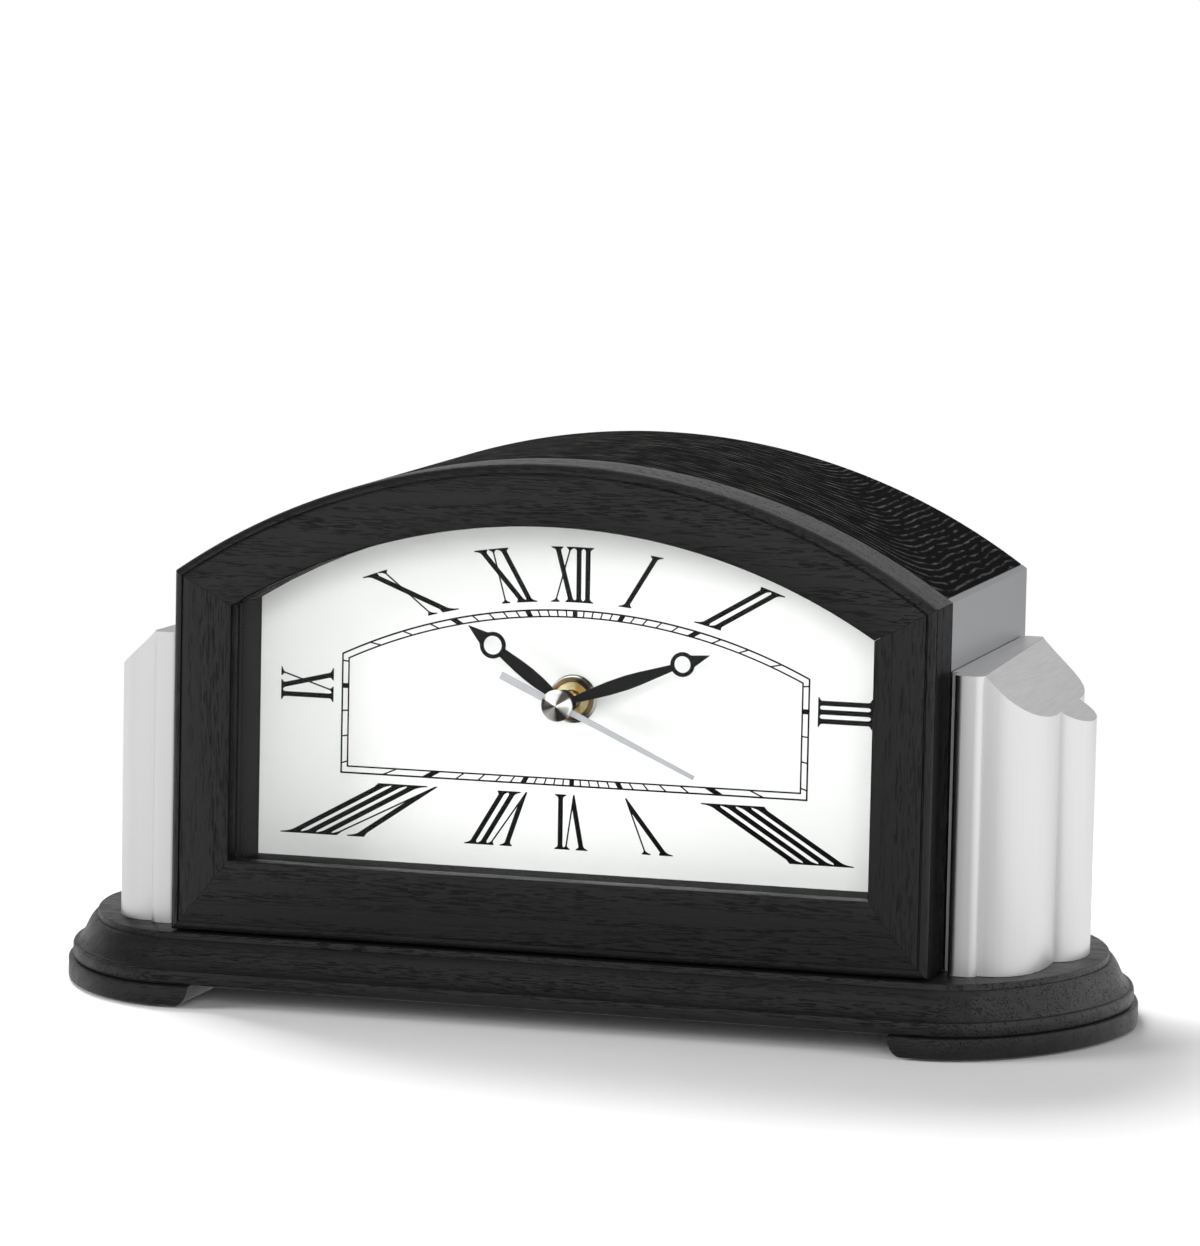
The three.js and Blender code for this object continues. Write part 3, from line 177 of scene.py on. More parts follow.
@dataclass(frozen=True)
class Finish:
    """What every finish has: a name, and one material that all pieces with it share."""

    name: str

    def material(self) -> bpy.types.Material:
        """Finds the finish's material, or makes it the first time.

        Returns:
            The material, with its own node tree.
        """
        made = bpy.data.materials.get(self.name)
        if made is None:
            made = bare_material(self.name)
            add_node(made.node_tree, "OutputMaterial", inputs={"Surface": self.surface(made.node_tree)})
        return made

    def surface(self, tree: Tree) -> Socket:
        """Builds the nodes of the finish and returns the shader's output."""
        raise NotImplementedError

    def marks(self, tree: Tree, scale: tuple[float, ...], detail: float, low: float, high: float) -> Socket:
        """Lays a noise over the piece in its own place and cuts it to marks.

        Args:
            tree: the material's node tree.
            scale: how often the noise repeats per metre along each axis.
            detail: how many finer layers the noise has.
            low: the noise value at which marks begin.
            high: the noise value at which marks are full.

        Returns:
            A value socket from 0 to 1.
        """
        place = add_node(tree, "TexCoord").outputs["Object"]
        spread = add_node(tree, "Mapping", inputs={"Vector": place, "Scale": scale})
        settings = {"Vector": spread, "Scale": 1.0, "Detail": detail, "Roughness": 0.55}
        noise = add_node(tree, "TexNoise", inputs=settings).outputs["Fac"]
        limits = {"Value": noise, "From Min": low, "From Max": high}
        return add_node(tree, "MapRange", inputs=limits).outputs["Result"]

    def shade(
        self, tree: Tree, tones: tuple[Socket, Colour, Colour], rough: tuple, slope: tuple | None, inputs: dict
    ) -> Socket:
        """Builds the shader from the patterns that tone, roughen and dent the surface.

        Args:
            tree: the material's node tree.
            tones: a pattern with the colours at 0 and at 1.
            rough: a pattern with the roughness at 0 and at 1.
            slope: a pattern with its strength and its height in millimetres, below 0 where it goes in.
            inputs: what else the shader is given.

        Returns:
            The shader's output.
        """
        pattern, *ends = tones
        ends = [linear(end) if isinstance(end, str) else end for end in ends]
        tone = add_node(tree, "Mix", {"data_type": "RGBA"}, {0: pattern, 6: ends[0], 7: ends[1]})
        limits = {"Value": rough[0], "To Min": rough[1], "To Max": rough[2]}
        given = {"Base Color": tone.outputs[2], "Roughness": add_node(tree, "MapRange", inputs=limits)}
        if slope:
            height, strength, reach = slope
            dent = {"Strength": strength, "Distance": abs(reach) * MM, "Height": height}
            given["Normal"] = add_node(tree, "Bump", {"invert": reach < 0}, dent)
        return add_node(tree, "BsdfPrincipled", inputs=given | inputs).outputs[0]


# Finishes


@dataclass(frozen=True)
class OpenGrainOak(Finish):
    """Oak, planed, stained black and left with open pores under thin satin lacquer.

    The eye sees near-black wood with short darker pores along the grain, and bands where the pores are dense.
    Real pores are 0.25 mm wide, and are drawn 0.34 mm wide so that they show.
    """

    run: Run = Run.ALONG_X
    stain: str = "#141414"
    pore: str = "#050505"
    pore_length: float = 5.0
    pore_width: float = 0.34
    ring_length: float = 90.0
    ring_width: float = 3.2
    dent: float = 0.8
    pore_depth: float = 0.3
    gloss: float = 0.4

    def surface(self, tree: Tree) -> Socket:
        """Builds bands of pores that darken, roughen and dent the lacquer."""
        pores = self.marks(tree, self.run.stretch(self.pore_length, self.pore_width), 1.0, 0.55, 0.61)
        rings = self.marks(tree, self.run.stretch(self.ring_length, self.ring_width), 2.0, 0.38, 0.58)
        dense = add_node(tree, "Math", {"operation": "MULTIPLY"}, {0: pores, 1: rings})
        slope = (dense, self.dent, -self.pore_depth)
        lacquer = {"IOR": 1.45, "Specular IOR Level": self.gloss}
        return self.shade(tree, (dense, self.stain, self.pore), (dense, 0.36, 0.62), slope, lacquer)


@dataclass(frozen=True)
class OakVeneer(Finish):
    """Crown-cut oak veneer, stained black, matt: broken light pores along nested arches on near-black.

    The arches are the year rings, cut at a slant. They run along the board and turn to the rear near its right
    end.
    """

    stain: str = "#0e0e0e"
    line: str = "#525250"
    arch_spacing: float = 3.1
    arch_lean: float = 0.1
    arch_end: float = 83.0
    arch_climb: float = 1.5
    arch_round: float = 30.0
    waver: float = 7.0
    gap_scale: tuple[float, ...] = (500.0, 130.0, 1.0)
    gloss: float = 0.006

    def surface(self, tree: Tree) -> Socket:
        """Builds lines that run along the board and turn to the rear near its end, broken into pores."""
        place = add_node(tree, "TexCoord").outputs["Object"]
        split = add_node(tree, "SeparateXYZ", inputs={0: place}).outputs
        lean = {0: split["X"], 1: self.arch_lean, 2: split["Y"]}
        climb = {0: split["X"], 1: -self.arch_climb, 2: self.arch_end * MM * self.arch_climb}
        arms = [add_node(tree, "Math", {"operation": "MULTIPLY_ADD"}, arm) for arm in (lean, climb)]
        turn = {0: arms[0], 1: arms[1], 2: self.arch_round * MM}
        level = add_node(tree, "Math", {"operation": "SMOOTH_MIN"}, turn)
        along = add_node(tree, "Math", {"operation": "ADD"}, {0: split["X"], 1: split["Y"]})
        bent = add_node(tree, "CombineXYZ", inputs={"X": level, "Y": along})
        bands = {"Vector": bent, "Scale": WAVE_SPACING / self.arch_spacing}
        bands |= {"Distortion": self.waver, "Detail": 3.0, "Detail Scale": 0.3}
        rings = add_node(tree, "TexWave", {"wave_type": "BANDS", "bands_direction": "X"}, bands)
        limits = {"Value": rings.outputs["Fac"], "From Min": 0.66, "From Max": 1.0}
        line = add_node(tree, "MapRange", inputs=limits)
        spread = add_node(tree, "Mapping", inputs={"Vector": bent, "Scale": self.gap_scale})
        gaps = add_node(tree, "TexNoise", inputs={"Vector": spread, "Scale": 1.0, "Detail": 3.0})
        broken = add_node(tree, "MapRange", inputs={"Value": gaps, "From Min": 0.42, "From Max": 0.7})
        seen = add_node(tree, "Math", {"operation": "MULTIPLY"}, {0: line, 1: broken})
        lacquer = {"IOR": 1.45, "Specular IOR Level": self.gloss}
        return self.shade(tree, (seen, self.stain, self.line), (seen, 0.7, 0.5), (seen, 0.35, 0.1), lacquer)


@dataclass(frozen=True)
class BrushedMetal(Finish):
    """Metal with a fine one-way finish: a soft sheen with hair lines that run one way.

    Real brush lines are under 0.1 mm wide, and are drawn 0.3 mm wide so that they show.
    """

    run: Run = Run.ALONG_Z
    light: str = "#f3f3f4"
    dark: str = "#ececed"
    rough_low: float = 0.38
    rough_high: float = 0.44
    line_length: float = 45.0
    line_width: float = 0.3
    cloud_length: float = 160.0
    cloud_width: float = 18.0
    cloud_share: float = 0.35
    depth: float = 0.03

    def surface(self, tree: Tree) -> Socket:
        """Builds hair lines that vary the tone, the roughness and the slope."""
        lines = self.marks(tree, self.run.stretch(self.line_length, self.line_width), 4.0, 0.35, 0.65)
        cloud = self.marks(tree, self.run.stretch(self.cloud_length, self.cloud_width), 2.0, 0.3, 0.7)
        blend = add_node(tree, "Mix", {"data_type": "FLOAT"}, {0: self.cloud_share, 2: lines, 3: cloud})
        rough = (lines, self.rough_low, self.rough_high)
        slope = (lines, self.depth, 0.05)
        return self.shade(tree, (blend, self.dark, self.light), rough, slope, {"Metallic": 1.0})


@dataclass(frozen=True)
class TurnedMetal(Finish):
    """Metal faced on a lathe: fine rings about the dial's axis, under a fan of painted highlights and painted
    shade.

    Real tool marks are 0.05 mm apart, and are drawn 0.28 mm apart so that they show.
    """

    # The colours of the fan's painted highlights and of its painted shade.
    light: str = "#d2d0cd"
    dark: str = "#332d2b"
    roughness: float = 0.3
    ring_spacing: float = 0.2836
    painted_shade_places: tuple = (0.0, 0.05, 0.26, 0.36, 0.6, 0.68, 0.94)
    painted_highlight_places: tuple = (0.12, 0.2, 0.42, 0.56, 0.74, 0.88)

    def painted_reflection_fans(self) -> list:
        """Lists the ramp of tones round the axis: fans of painted shade with soft edges on painted highlight."""
        dark = [(place, linear(self.dark)) for place in self.painted_shade_places]
        return sorted(dark + [(place, linear(self.light)) for place in self.painted_highlight_places])

    def surface(self, tree: Tree) -> Socket:
        """Builds rings about the axis that vary the slope, and the fan of painted highlights and shade in the
        colour.
        """
        place = add_node(tree, "TexCoord").outputs["Object"]
        shift = (0.0, 0.0, -AXIS_HEIGHT * MM)
        centred = add_node(tree, "Mapping", inputs={"Vector": place, "Location": shift})
        bands = {"Vector": centred, "Scale": WAVE_SPACING / self.ring_spacing, "Distortion": 0.4, "Detail": 1.0}
        rings = add_node(tree, "TexWave", {"wave_type": "RINGS", "rings_direction": "Y"}, bands)
        flat = add_node(tree, "SeparateXYZ", inputs={0: centred}).outputs
        facing = add_node(tree, "CombineXYZ", inputs={"X": flat["X"], "Y": flat["Z"]})
        round_axis = add_node(tree, "TexGradient", {"gradient_type": "RADIAL"}, {0: facing}).outputs["Fac"]
        dent = {"Strength": 0.3, "Distance": 0.00003, "Height": rings.outputs["Fac"]}
        # Painted reflection: the base colour is a fan of light and dark sectors round the axis, standing in for
        # glints.
        inputs = {
            "Base Color": add_node(tree, "ValToRGB", inputs={0: round_axis}, stops=self.painted_reflection_fans()),
            "Metallic": 1.0,
            "Roughness": self.roughness,
            "Anisotropic": 0.9,
            "Tangent": add_node(tree, "Tangent", {"direction_type": "RADIAL", "axis": "Y"}),
            "Normal": add_node(tree, "Bump", inputs=dent),
        }
        return add_node(tree, "BsdfPrincipled", inputs=inputs).outputs[0]


@dataclass(frozen=True)
class GrainedCoat(Finish):
    """A painted, moulded, pressed or printed surface: its colour, sheen and the size of its fine grain."""

    colour: str
    second: str
    roughness: float = 0.5
    grain: float = 0.5
    depth: float = 0.1
    spread: float = 0.08
    coat: float = 0.0
    gloss: float = 0.5

    def surface(self, tree: Tree) -> Socket:
        """Builds a fine grain that varies the tone, the roughness and the slope a little."""
        size = 1000 / self.grain
        fine = self.marks(tree, (size,) * 3, 2.0, 0.35, 0.65)
        broad = self.marks(tree, (size / 25,) * 3, 3.0, 0.3, 0.7)
        blend = add_node(tree, "Mix", {"data_type": "FLOAT"}, {0: 0.5, 2: fine, 3: broad})
        rough = (blend, self.roughness, self.roughness + self.spread)
        inputs = {"Coat Weight": self.coat, "IOR": 1.5, "Specular IOR Level": self.gloss}
        return self.shade(tree, (blend, self.colour, self.second), rough, (fine, self.depth, 0.1), inputs)


@dataclass(frozen=True)
class WindowWall(Finish):
    """The deep wall between glass and dial: black satin lacquer, grey near the glass and darker in two steps
    towards the dial.

    The eye sees upright streaks from the lacquer brush and two steps of tone going back.
    """

    black: str = "#050505"
    grey: str = "#202020"
    middle: str = "#0e0e0e"
    streak: str = "#232323"
    glass_side: float = -49.5
    dial_side: float = -30.5
    first_step: float = -47.4
    second_step: float = -43.0

    def surface(self, tree: Tree) -> Socket:
        """Builds tones that change with depth, with streaks along the height."""
        place = add_node(tree, "TexCoord").outputs["Object"]
        level = add_node(tree, "SeparateXYZ", inputs={0: place}).outputs["Y"]
        limits = {"Value": level, "From Min": self.glass_side * MM, "From Max": self.dial_side * MM}
        depth = add_node(tree, "MapRange", inputs=limits)
        span = self.dial_side - self.glass_side
        first = (self.first_step - self.glass_side) / span
        second = (self.second_step - self.glass_side) / span
        grey, middle, black = linear(self.grey), linear(self.middle), linear(self.black)
        stops = [(first - 0.03, grey), (first + 0.03, middle), (second - 0.03, middle), (second + 0.04, black)]
        tone = add_node(tree, "ValToRGB", inputs={0: depth}, stops=stops)
        streaks = self.marks(tree, Run.ALONG_Z.stretch(45.0, 1.1), 2.0, 0.5, 0.68)
        satin = {"IOR": 1.5, "Specular IOR Level": 0.02}
        tones = (streaks, tone.outputs[0], self.streak)
        return self.shade(tree, tones, (streaks, 0.5, 0.75), None, satin)


@dataclass(frozen=True)
class FloatGlass(Finish):
    """Clear float glass, polished flat and coated against glare.

    The eye sees what is behind it, and hardly any gloss. The coating is drawn as a low IOR. Rays that carry
    light to the dial pass straight through it.
    """

    tint: str = "#fbfdfc"
    coated_ior: float = 1.2

    def surface(self, tree: Tree) -> Socket:
        """Builds glass that lets lamps and diffuse light through."""
        dust = self.marks(tree, (400.0, 400.0, 400.0), 3.0, 0.45, 0.75)
        haze = add_node(tree, "MapRange", inputs={"Value": dust, "To Min": 0.0, "To Max": 0.02})
        inputs = {"Base Color": linear(self.tint), "Roughness": haze}
        inputs |= {"Transmission Weight": 1.0, "IOR": self.coated_ior}
        glass = add_node(tree, "BsdfPrincipled", inputs=inputs)
        clear = add_node(tree, "BsdfTransparent")
        ray = add_node(tree, "LightPath").outputs
        either = {0: ray["Is Shadow Ray"], 1: ray["Is Diffuse Ray"]}
        passes = add_node(tree, "Math", {"operation": "MAXIMUM"}, either)
        return add_node(tree, "MixShader", inputs={0: passes, 1: glass, 2: clear}).outputs[0]


OAK_X = OpenGrainOak("black_oak_grain_along_rail")
OAK_Z = OpenGrainOak("black_oak_grain_upright", run=Run.ALONG_Z)
# End grain with short pores, made lighter and glossier as a painted highlight; only the plinth's right end takes
# it.
OAK_END_GRAIN_AND_HIGHLIGHT = OpenGrainOak(
    "black_oak_end_grain_and_painted_highlight", stain="#181818", pore_length=1.1, pore_width=0.6, ring_width=2.4, dent=1.0, gloss=0.5
)
# Painted shade: darker, duller oak for the frame's outer sides and its window opening.
OAK_PAINTED_SHADE = OpenGrainOak("black_oak_painted_shade", run=Run.ALONG_Z, stain="#0e0e0e", gloss=0.03)
VENEER = OakVeneer("black_oak_crown_veneer")
COLUMN_SIDE = BrushedMetal("extruded_aluminium_satin_upright")
COLUMN_COVE = BrushedMetal(
    "milled_aluminium_cove", Run.ALONG_Y, "#ebebec", "#d8d8da", 0.36, 0.46, line_width=0.35, depth=0.12
)
CHEEK_METAL = BrushedMetal(
    "sheet_aluminium_grey_anodised", light="#a9aaac", dark="#a3a4a6", rough_low=0.36, rough_high=0.42
)
SPRING_STEEL = BrushedMetal("nickelled_spring_steel", light="#cfcfcd", dark="#b4b4b2")
HINGE_BRASS = BrushedMetal("rolled_brass", light="#cfa95c", dark="#b08c45", rough_low=0.28, rough_high=0.42)
TURNED_STEEL = TurnedMetal("faced_steel")
TURNED_BRASS = TurnedMetal("faced_brass", light="#f0dfae", dark="#b89a5c")
AGED_BRASS = TurnedMetal("aged_brass_nut", light="#8a6e4c", dark="#241a12")
HAND_SILVER = GrainedCoat("silver_lacquered_steel", "#a2a3a7", "#a9aaae", depth=0.05)
DIAL_ENAMEL = GrainedCoat(
    "sprayed_matt_dial_enamel", "#f2f2f0", "#f5f5f4", roughness=0.55, grain=0.6, depth=0.03
)
DIAL_INK = GrainedCoat("screen_printed_black_ink", "#060606", "#0b0b0b", roughness=0.6, depth=0.05, gloss=0.03)
HAND_LACQUER = GrainedCoat("black_lacquered_steel", "#060606", "#0a0a0a", grain=0.8, depth=0.04, gloss=0.06)
SMOOTH_BLACK = GrainedCoat("moulded_black_nylon", "#101113", "#151618", roughness=0.36, depth=0.06)
PANEL_BLACK = GrainedCoat("moulded_black_panel", "#141415", "#1b1b1c", roughness=0.55, grain=0.6, depth=0.3)
POWDER_BLACK = GrainedCoat("powder_coated_steel", "#111112", "#191919", grain=0.7, depth=0.4)
PAPER_PULP = GrainedCoat("pressed_paper_pulp", "#1d1c1c", "#2b2a29", roughness=0.85, grain=1.2, depth=0.6)
SOFT_RUBBER = GrainedCoat("butyl_rubber", "#0e0e0e", "#141414", roughness=0.7, grain=0.8)
PRESSED_BOARD = GrainedCoat("raw_fibre_board", "#6a4e33", "#80623f", roughness=0.8, grain=0.9, depth=0.5)
SOLDER_MASK = GrainedCoat(
    "green_solder_mask", "#134a2a", "#1c5c35", roughness=0.35, grain=2.2, depth=0.3, coat=0.4
)
CELL_SLEEVE = GrainedCoat(
    "shrunk_cell_sleeve", "#30353c", "#3b4149", roughness=0.3, grain=3.0, depth=0.05, coat=0.5
)
WALL = WindowWall("lacquered_window_wall")
GLASS = FloatGlass("float_glass")


# Modelling


def pick(piece: Piece) -> None:
    """Makes a piece the only one that is selected, and the active one."""
    bpy.ops.object.select_all(action="DESELECT")
    piece.select_set(True)
    bpy.context.view_layer.objects.active = piece


def lay_ring(name: str, ring: Ring) -> Piece:
    """Adds a filled circle and lays its corners on a closed line of points.

    Args:
        name: the new piece's name.
        ring: the points in millimetres, in order round the line.

    Returns:
        The piece, with each corner's seat on the line kept as an attribute.
    """
    bpy.ops.object.select_all(action="DESELECT")
    bpy.ops.mesh.primitive_circle_add(vertices=len(ring), fill_type="NGON")
    piece = bpy.context.active_object
    piece.name = name
    piece.data.name = name
    seats = piece.data.attributes.new("seat", "INT", "POINT")
    for corner, point in zip(piece.data.vertices, ring):
        corner.co = Vector(point) * MM
        seats.data[corner.index].value = corner.index
    return piece


def carry_rings(piece: Piece, rings: list[Ring]) -> None:
    """Extrudes the filled ring from line to line and closes it at the last.

    Args:
        piece: a piece from lay_ring.
        rings: the further lines, each with as many points as the first.
    """
    bpy.ops.object.mode_set(mode="EDIT")
    bpy.ops.mesh.select_all(action="SELECT")
    for ring in rings:
        bpy.ops.mesh.extrude_region()
        shape = bmesh.from_edit_mesh(piece.data)
        seat = shape.verts.layers.int["seat"]
        for corner in shape.verts:
            if corner.select:
                corner.co = Vector(ring[corner[seat]]) * MM
        bmesh.update_edit_mesh(piece.data)
    bpy.ops.mesh.select_all(action="SELECT")
    bpy.ops.mesh.normals_make_consistent(inside=False)
    bpy.ops.object.mode_set(mode="OBJECT")
    piece.data.attributes.remove(piece.data.attributes["seat"])


def loft(name: str, rings: list[Ring]) -> Piece:
    """Makes a closed piece from its first ring through all the others."""
    piece = lay_ring(name, rings[0])
    carry_rings(piece, rings[1:])
    return piece


def prism(name: str, outline: Pairs, front: float, rear: float) -> Piece:
    """Makes a piece from an outline in X and Z, run back from one plane to another."""
    return loft(name, [[(x, y, z) for x, z in outline] for y in (front, rear)])


def turned(name: str, profile: Pairs, centre: tuple[float, float, float], steps: int) -> Piece:
    """Spins a profile about a line along Y.

    Args:
        name: the new piece's name.
        profile: pairs of radius and distance along Y from the centre, closed round the solid part.
        centre: a point on the line, in millimetres.
        steps: how many faces go round.

    Returns:
        The turned piece.
    """
    x, y, z = centre
    piece = lay_ring(name, [(x + radius, y + along, z) for radius, along in profile])
    bpy.ops.object.mode_set(mode="EDIT")
    bpy.ops.mesh.select_all(action="SELECT")
    bpy.ops.mesh.delete(type="ONLY_FACE")
    bpy.ops.mesh.select_all(action="SELECT")
    bpy.ops.mesh.spin(steps=steps, angle=2 * math.pi, center=Vector(centre) * MM, axis=(0.0, 1.0, 0.0))
    bpy.ops.mesh.select_all(action="SELECT")
    bpy.ops.mesh.remove_doubles(threshold=0.00001)
    bpy.ops.mesh.delete_loose(use_verts=True, use_edges=True, use_faces=False)
    bpy.ops.mesh.select_all(action="SELECT")
    bpy.ops.mesh.normals_make_consistent(inside=False)
    bpy.ops.object.mode_set(mode="OBJECT")
    piece.data.attributes.remove(piece.data.attributes["seat"])
    return piece


def joined(pieces: list[Piece]) -> Piece:
    """Joins several pieces into the first one and returns it."""
    bpy.ops.object.select_all(action="DESELECT")
    for piece in pieces:
        piece.select_set(True)
    bpy.context.view_layer.objects.active = pieces[0]
    bpy.ops.object.join()
    return pieces[0]


def put_on(piece: Piece, kind: str, settings: dict) -> None:
    """Adds a modifier with its settings and applies it.

    Args:
        piece: the piece to change.
        kind: the modifier's type.
        settings: attribute names with their values.
    """
    pick(piece)
    modifier = piece.modifiers.new(kind.lower(), kind)
    for name, value in settings.items():
        setattr(modifier, name, value)
    bpy.ops.object.modifier_apply(modifier=modifier.name)


def boolean(piece: Piece, tool: Piece, operation: str) -> None:
    """Cuts, keeps or adds one piece with another, and removes the tool."""
    put_on(piece, "BOOLEAN", {"object": tool, "operation": operation, "solver": "EXACT"})
    bpy.data.objects.remove(tool)


def soften(piece: Piece, width: float, segments: int = 2, angle: float = 32.0) -> None:
    """Rounds the sharp edges of a piece and shades what is smooth.

    Args:
        piece: the piece to finish.
        width: how wide each rounded edge is, in millimetres, or 0 for none.
        segments: how many faces go across a rounded edge.
        angle: edges that turn by more than this many degrees count as sharp.
    """
    pick(piece)
    bpy.ops.object.shade_smooth_by_angle(angle=math.radians(angle))
    if width:
        settings = {
            "width": width * MM,
            "segments": segments,
            "limit_method": "ANGLE",
            "angle_limit": math.radians(angle),
            "harden_normals": True,
            "miter_outer": "MITER_ARC",
        }
        put_on(piece, "BEVEL", settings)


def dress(piece: Piece, *finishes: Finish) -> None:
    """Gives a piece its finishes, one material slot each."""
    piece.data.materials.clear()
    for finish in finishes:
        piece.data.materials.append(finish.material())


def settle(piece: Piece, body: str, slot: str, *nodes: str) -> None:
    """Makes a finished piece ride on a body and stand for its nodes.

    Args:
        piece: the finished piece, with its place in its mesh.
        body: the body that carries it.
        slot: the record's material slot, not used.
        nodes: the nodes that it stands for, if any.
    """
    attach(piece, body)
    if nodes:
        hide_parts(*nodes)
    log.info("%s rides on %s, %d faces", piece.name, body, len(piece.data.polygons))


def refine(
    node: str, finish: Finish, slot: str, width: float, angle: float = 32.0, join: bool = True
) -> Piece:
    """Copies a node's mesh, merges it, softens its edges and lets it stand for the node.

    Args:
        node: the node to copy.
        finish: the finish of the copy.
        slot: the record's material slot.
        width: the width of its rounded edges in millimetres, or 0.
        angle: edges that turn by more than this many degrees are rounded.
        join: whether flat faces side by side become one, which a face with holes can't.

    Returns:
        The new piece.
    """
    source = frame["nodes"][node]
    piece = bpy.data.objects.new(node + "_finished", source.data.copy())
    bpy.context.scene.collection.objects.link(piece)
    pick(piece)
    bpy.ops.object.mode_set(mode="EDIT")
    bpy.ops.mesh.select_all(action="SELECT")
    bpy.ops.mesh.remove_doubles(threshold=0.000005)
    bpy.ops.mesh.dissolve_degenerate(threshold=0.00002)
    if join:
        bpy.ops.mesh.dissolve_limited(angle_limit=math.radians(1.0))
    bpy.ops.object.mode_set(mode="OBJECT")
    soften(piece, width, 2, angle)
    dress(piece, finish)
    settle(piece, source["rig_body"], slot, node)
    return piece


# Outlines


def super_arc(
    centre: tuple[float, float], radii: tuple[float, float], power: float, start: float, end: float, steps: int
) -> Pairs:
    """Draws a bulged or pinched arc: 2 is an ellipse, and a higher power is squarer.

    Args:
        centre: the arc's middle.
        radii: its reach along each axis.
        power: how bulged it is.
        start: the first angle in radians.
        end: the last angle in radians.
        steps: how many pieces it has.

    Returns:
        Its points.
    """
    points = []
    for i in range(steps + 1):
        angle = start + (end - start) * i / steps
        c, s = math.cos(angle), math.sin(angle)
        x = math.copysign(abs(c) ** (2 / power), c)
        y = math.copysign(abs(s) ** (2 / power), s)
        points.append((centre[0] + radii[0] * x, centre[1] + radii[1] * y))
    return points


def circle(centre: tuple[float, float], radius: float, steps: int) -> Pairs:
    """Draws a whole circle."""
    return super_arc(centre, (radius, radius), 2.0, 0.0, 2 * math.pi, steps)[:-1]


def between(a: tuple[float, ...], b: tuple[float, ...], share: float) -> tuple[float, ...]:
    """Gives the point at a share of the way from a to b."""
    return tuple(p + (q - p) * share for p, q in zip(a, b))


# Sub-assemblies


@dataclass
class Base:
    """The moulded plinth with half-oval ends, its two bracket feet and their pads.

    Recesses and ways from below stand for the screws that hold the case and the columns.
    """

    half_length: float = 153.7
    half_depth: float = 66.0
    end_length: float = 44.8
    end_power: float = 1.82
    foot_bottom: float = 0.6
    foot_top: float = 6.4
    bottom: float = 6.5
    opening: float = 104.0
    cove: float = 4.6
    case_screws: tuple = ((90.0, -25.0), (90.0, 25.0))
    column_screws: tuple = ((123.85, -19.5), (123.85, 28.5))
    recess_radius: float = 3.2
    recess_low: float = 5.0
    recess_depth: float = 2.5
    way_radius: float = 4.2
    tool_reach: float = 160.0
    tool_depth: float = 70.0
    tool_top: float = 7.0
    end_turn: float = 0.45
    smooth_angle: float = 38.0
    steps: int = 56

    def ring(self, inset: float, level: float) -> Ring:
        """Draws the plan at an inset from the outside and a level."""
        centre = self.half_length - self.end_length
        radii = (self.end_length - inset, self.half_depth - inset)
        end = super_arc((centre, 0.0), radii, self.end_power, -math.pi / 2, math.pi / 2, self.steps)
        return [(x, y, level) for x, y in end] + [(-x, -y, level) for x, y in end]

    def edge(self) -> Pairs:
        """Lists the moulding from below as pairs of inset and level: band, quirk, ogee, step and fillet."""
        band = [(1.9, 6.5), (1.5, 6.7), (1.3, 7.2), (1.3, 9.9), (1.5, 10.35), (1.9, 10.5)]
        quirk = [(2.35, 10.5), (2.35, 10.7)]
        ogee = []
        for i in range(19):
            share = i / 18
            rise = share - 0.07 * math.sin(2 * math.pi * share)
            ogee.append((2.6 + 5.0 * share, 10.72 + 7.48 * rise))
        fillet = [(8.4, 18.22), (8.5, 18.35), (8.5, 19.65), (8.6, 19.9), (8.85, 20.0)]
        return band + quirk + ogee + fillet

    def sink(self, piece: Piece, place: tuple, radius: float, levels: tuple[float, float]) -> None:
        """Cuts an upright round hole into a piece from one level to another."""
        rings = [[(x, y, z) for x, y in circle(place, radius, 28)] for z in levels]
        boolean(piece, loft("hole", rings), "DIFFERENCE")

    def build_plinth(self) -> None:
        """Lofts the moulding and sinks the screw recesses from below."""
        piece = loft("plinth_board", [self.ring(inset, level) for inset, level in self.edge()])
        levels = (self.recess_low, self.bottom + self.recess_depth)
        for screws in (self.case_screws, self.column_screws):
            for side in (-1, 1):
                for x, y in screws:
                    self.sink(piece, (side * x, y), self.recess_radius, levels)
        soften(piece, 0.0, angle=self.smooth_angle)
        dress(piece, OAK_X, OAK_END_GRAIN_AND_HIGHLIGHT)
        # Only the right end takes the end-grain oak: its short pores, plus a painted highlight where light
        # grazes that end.
        for face in piece.data.polygons:
            face.material_index = 1 if face.normal.x > self.end_turn else 0
        settle(piece, "case", "black_oak", "plinth")

    def build_foot(self, side: int) -> None:
        """Lofts one end of the layer under the plinth and keeps what is outside its cove."""
        node = "foot_right" if side > 0 else "foot_left"
        edge = [(0.75, 0.6), (0.45, 0.65), (0.12, 0.85), (0.0, 1.2), (0.0, 5.8), (0.15, 6.2), (0.5, 6.4)]
        piece = loft(node + "_bracket", [self.ring(inset, level) for inset, level in edge])
        radii = (self.cove, self.foot_top - self.foot_bottom)
        hollow = super_arc((self.opening, self.foot_top), radii, 2.0, math.pi, 1.5 * math.pi, 16)
        far = [(self.opening, 0.0), (self.tool_reach, 0.0), (self.tool_reach, self.tool_top)]
        outline = [*hollow, *far, (self.opening - self.cove, self.tool_top)]
        tool = prism("foot_end", [(side * x, z) for x, z in outline], -self.tool_depth, self.tool_depth)
        boolean(piece, tool, "INTERSECT")
        for x, y in self.column_screws:
            self.sink(piece, (side * x, y), self.way_radius, (0.0, self.tool_top))
        soften(piece, 0.0, angle=self.smooth_angle)
        dress(piece, OAK_X)
        settle(piece, "case", "black_oak", node)

    def build(self) -> None:
        """Builds the plinth, both feet and the pads."""
        self.build_plinth()
        self.build_foot(-1)
        self.build_foot(1)
        for end in ("front", "rear"):
            for side in ("left", "right"):
                refine(f"foot_pad_{end}_{side}", SOFT_RUBBER, "rubber", 0.12)


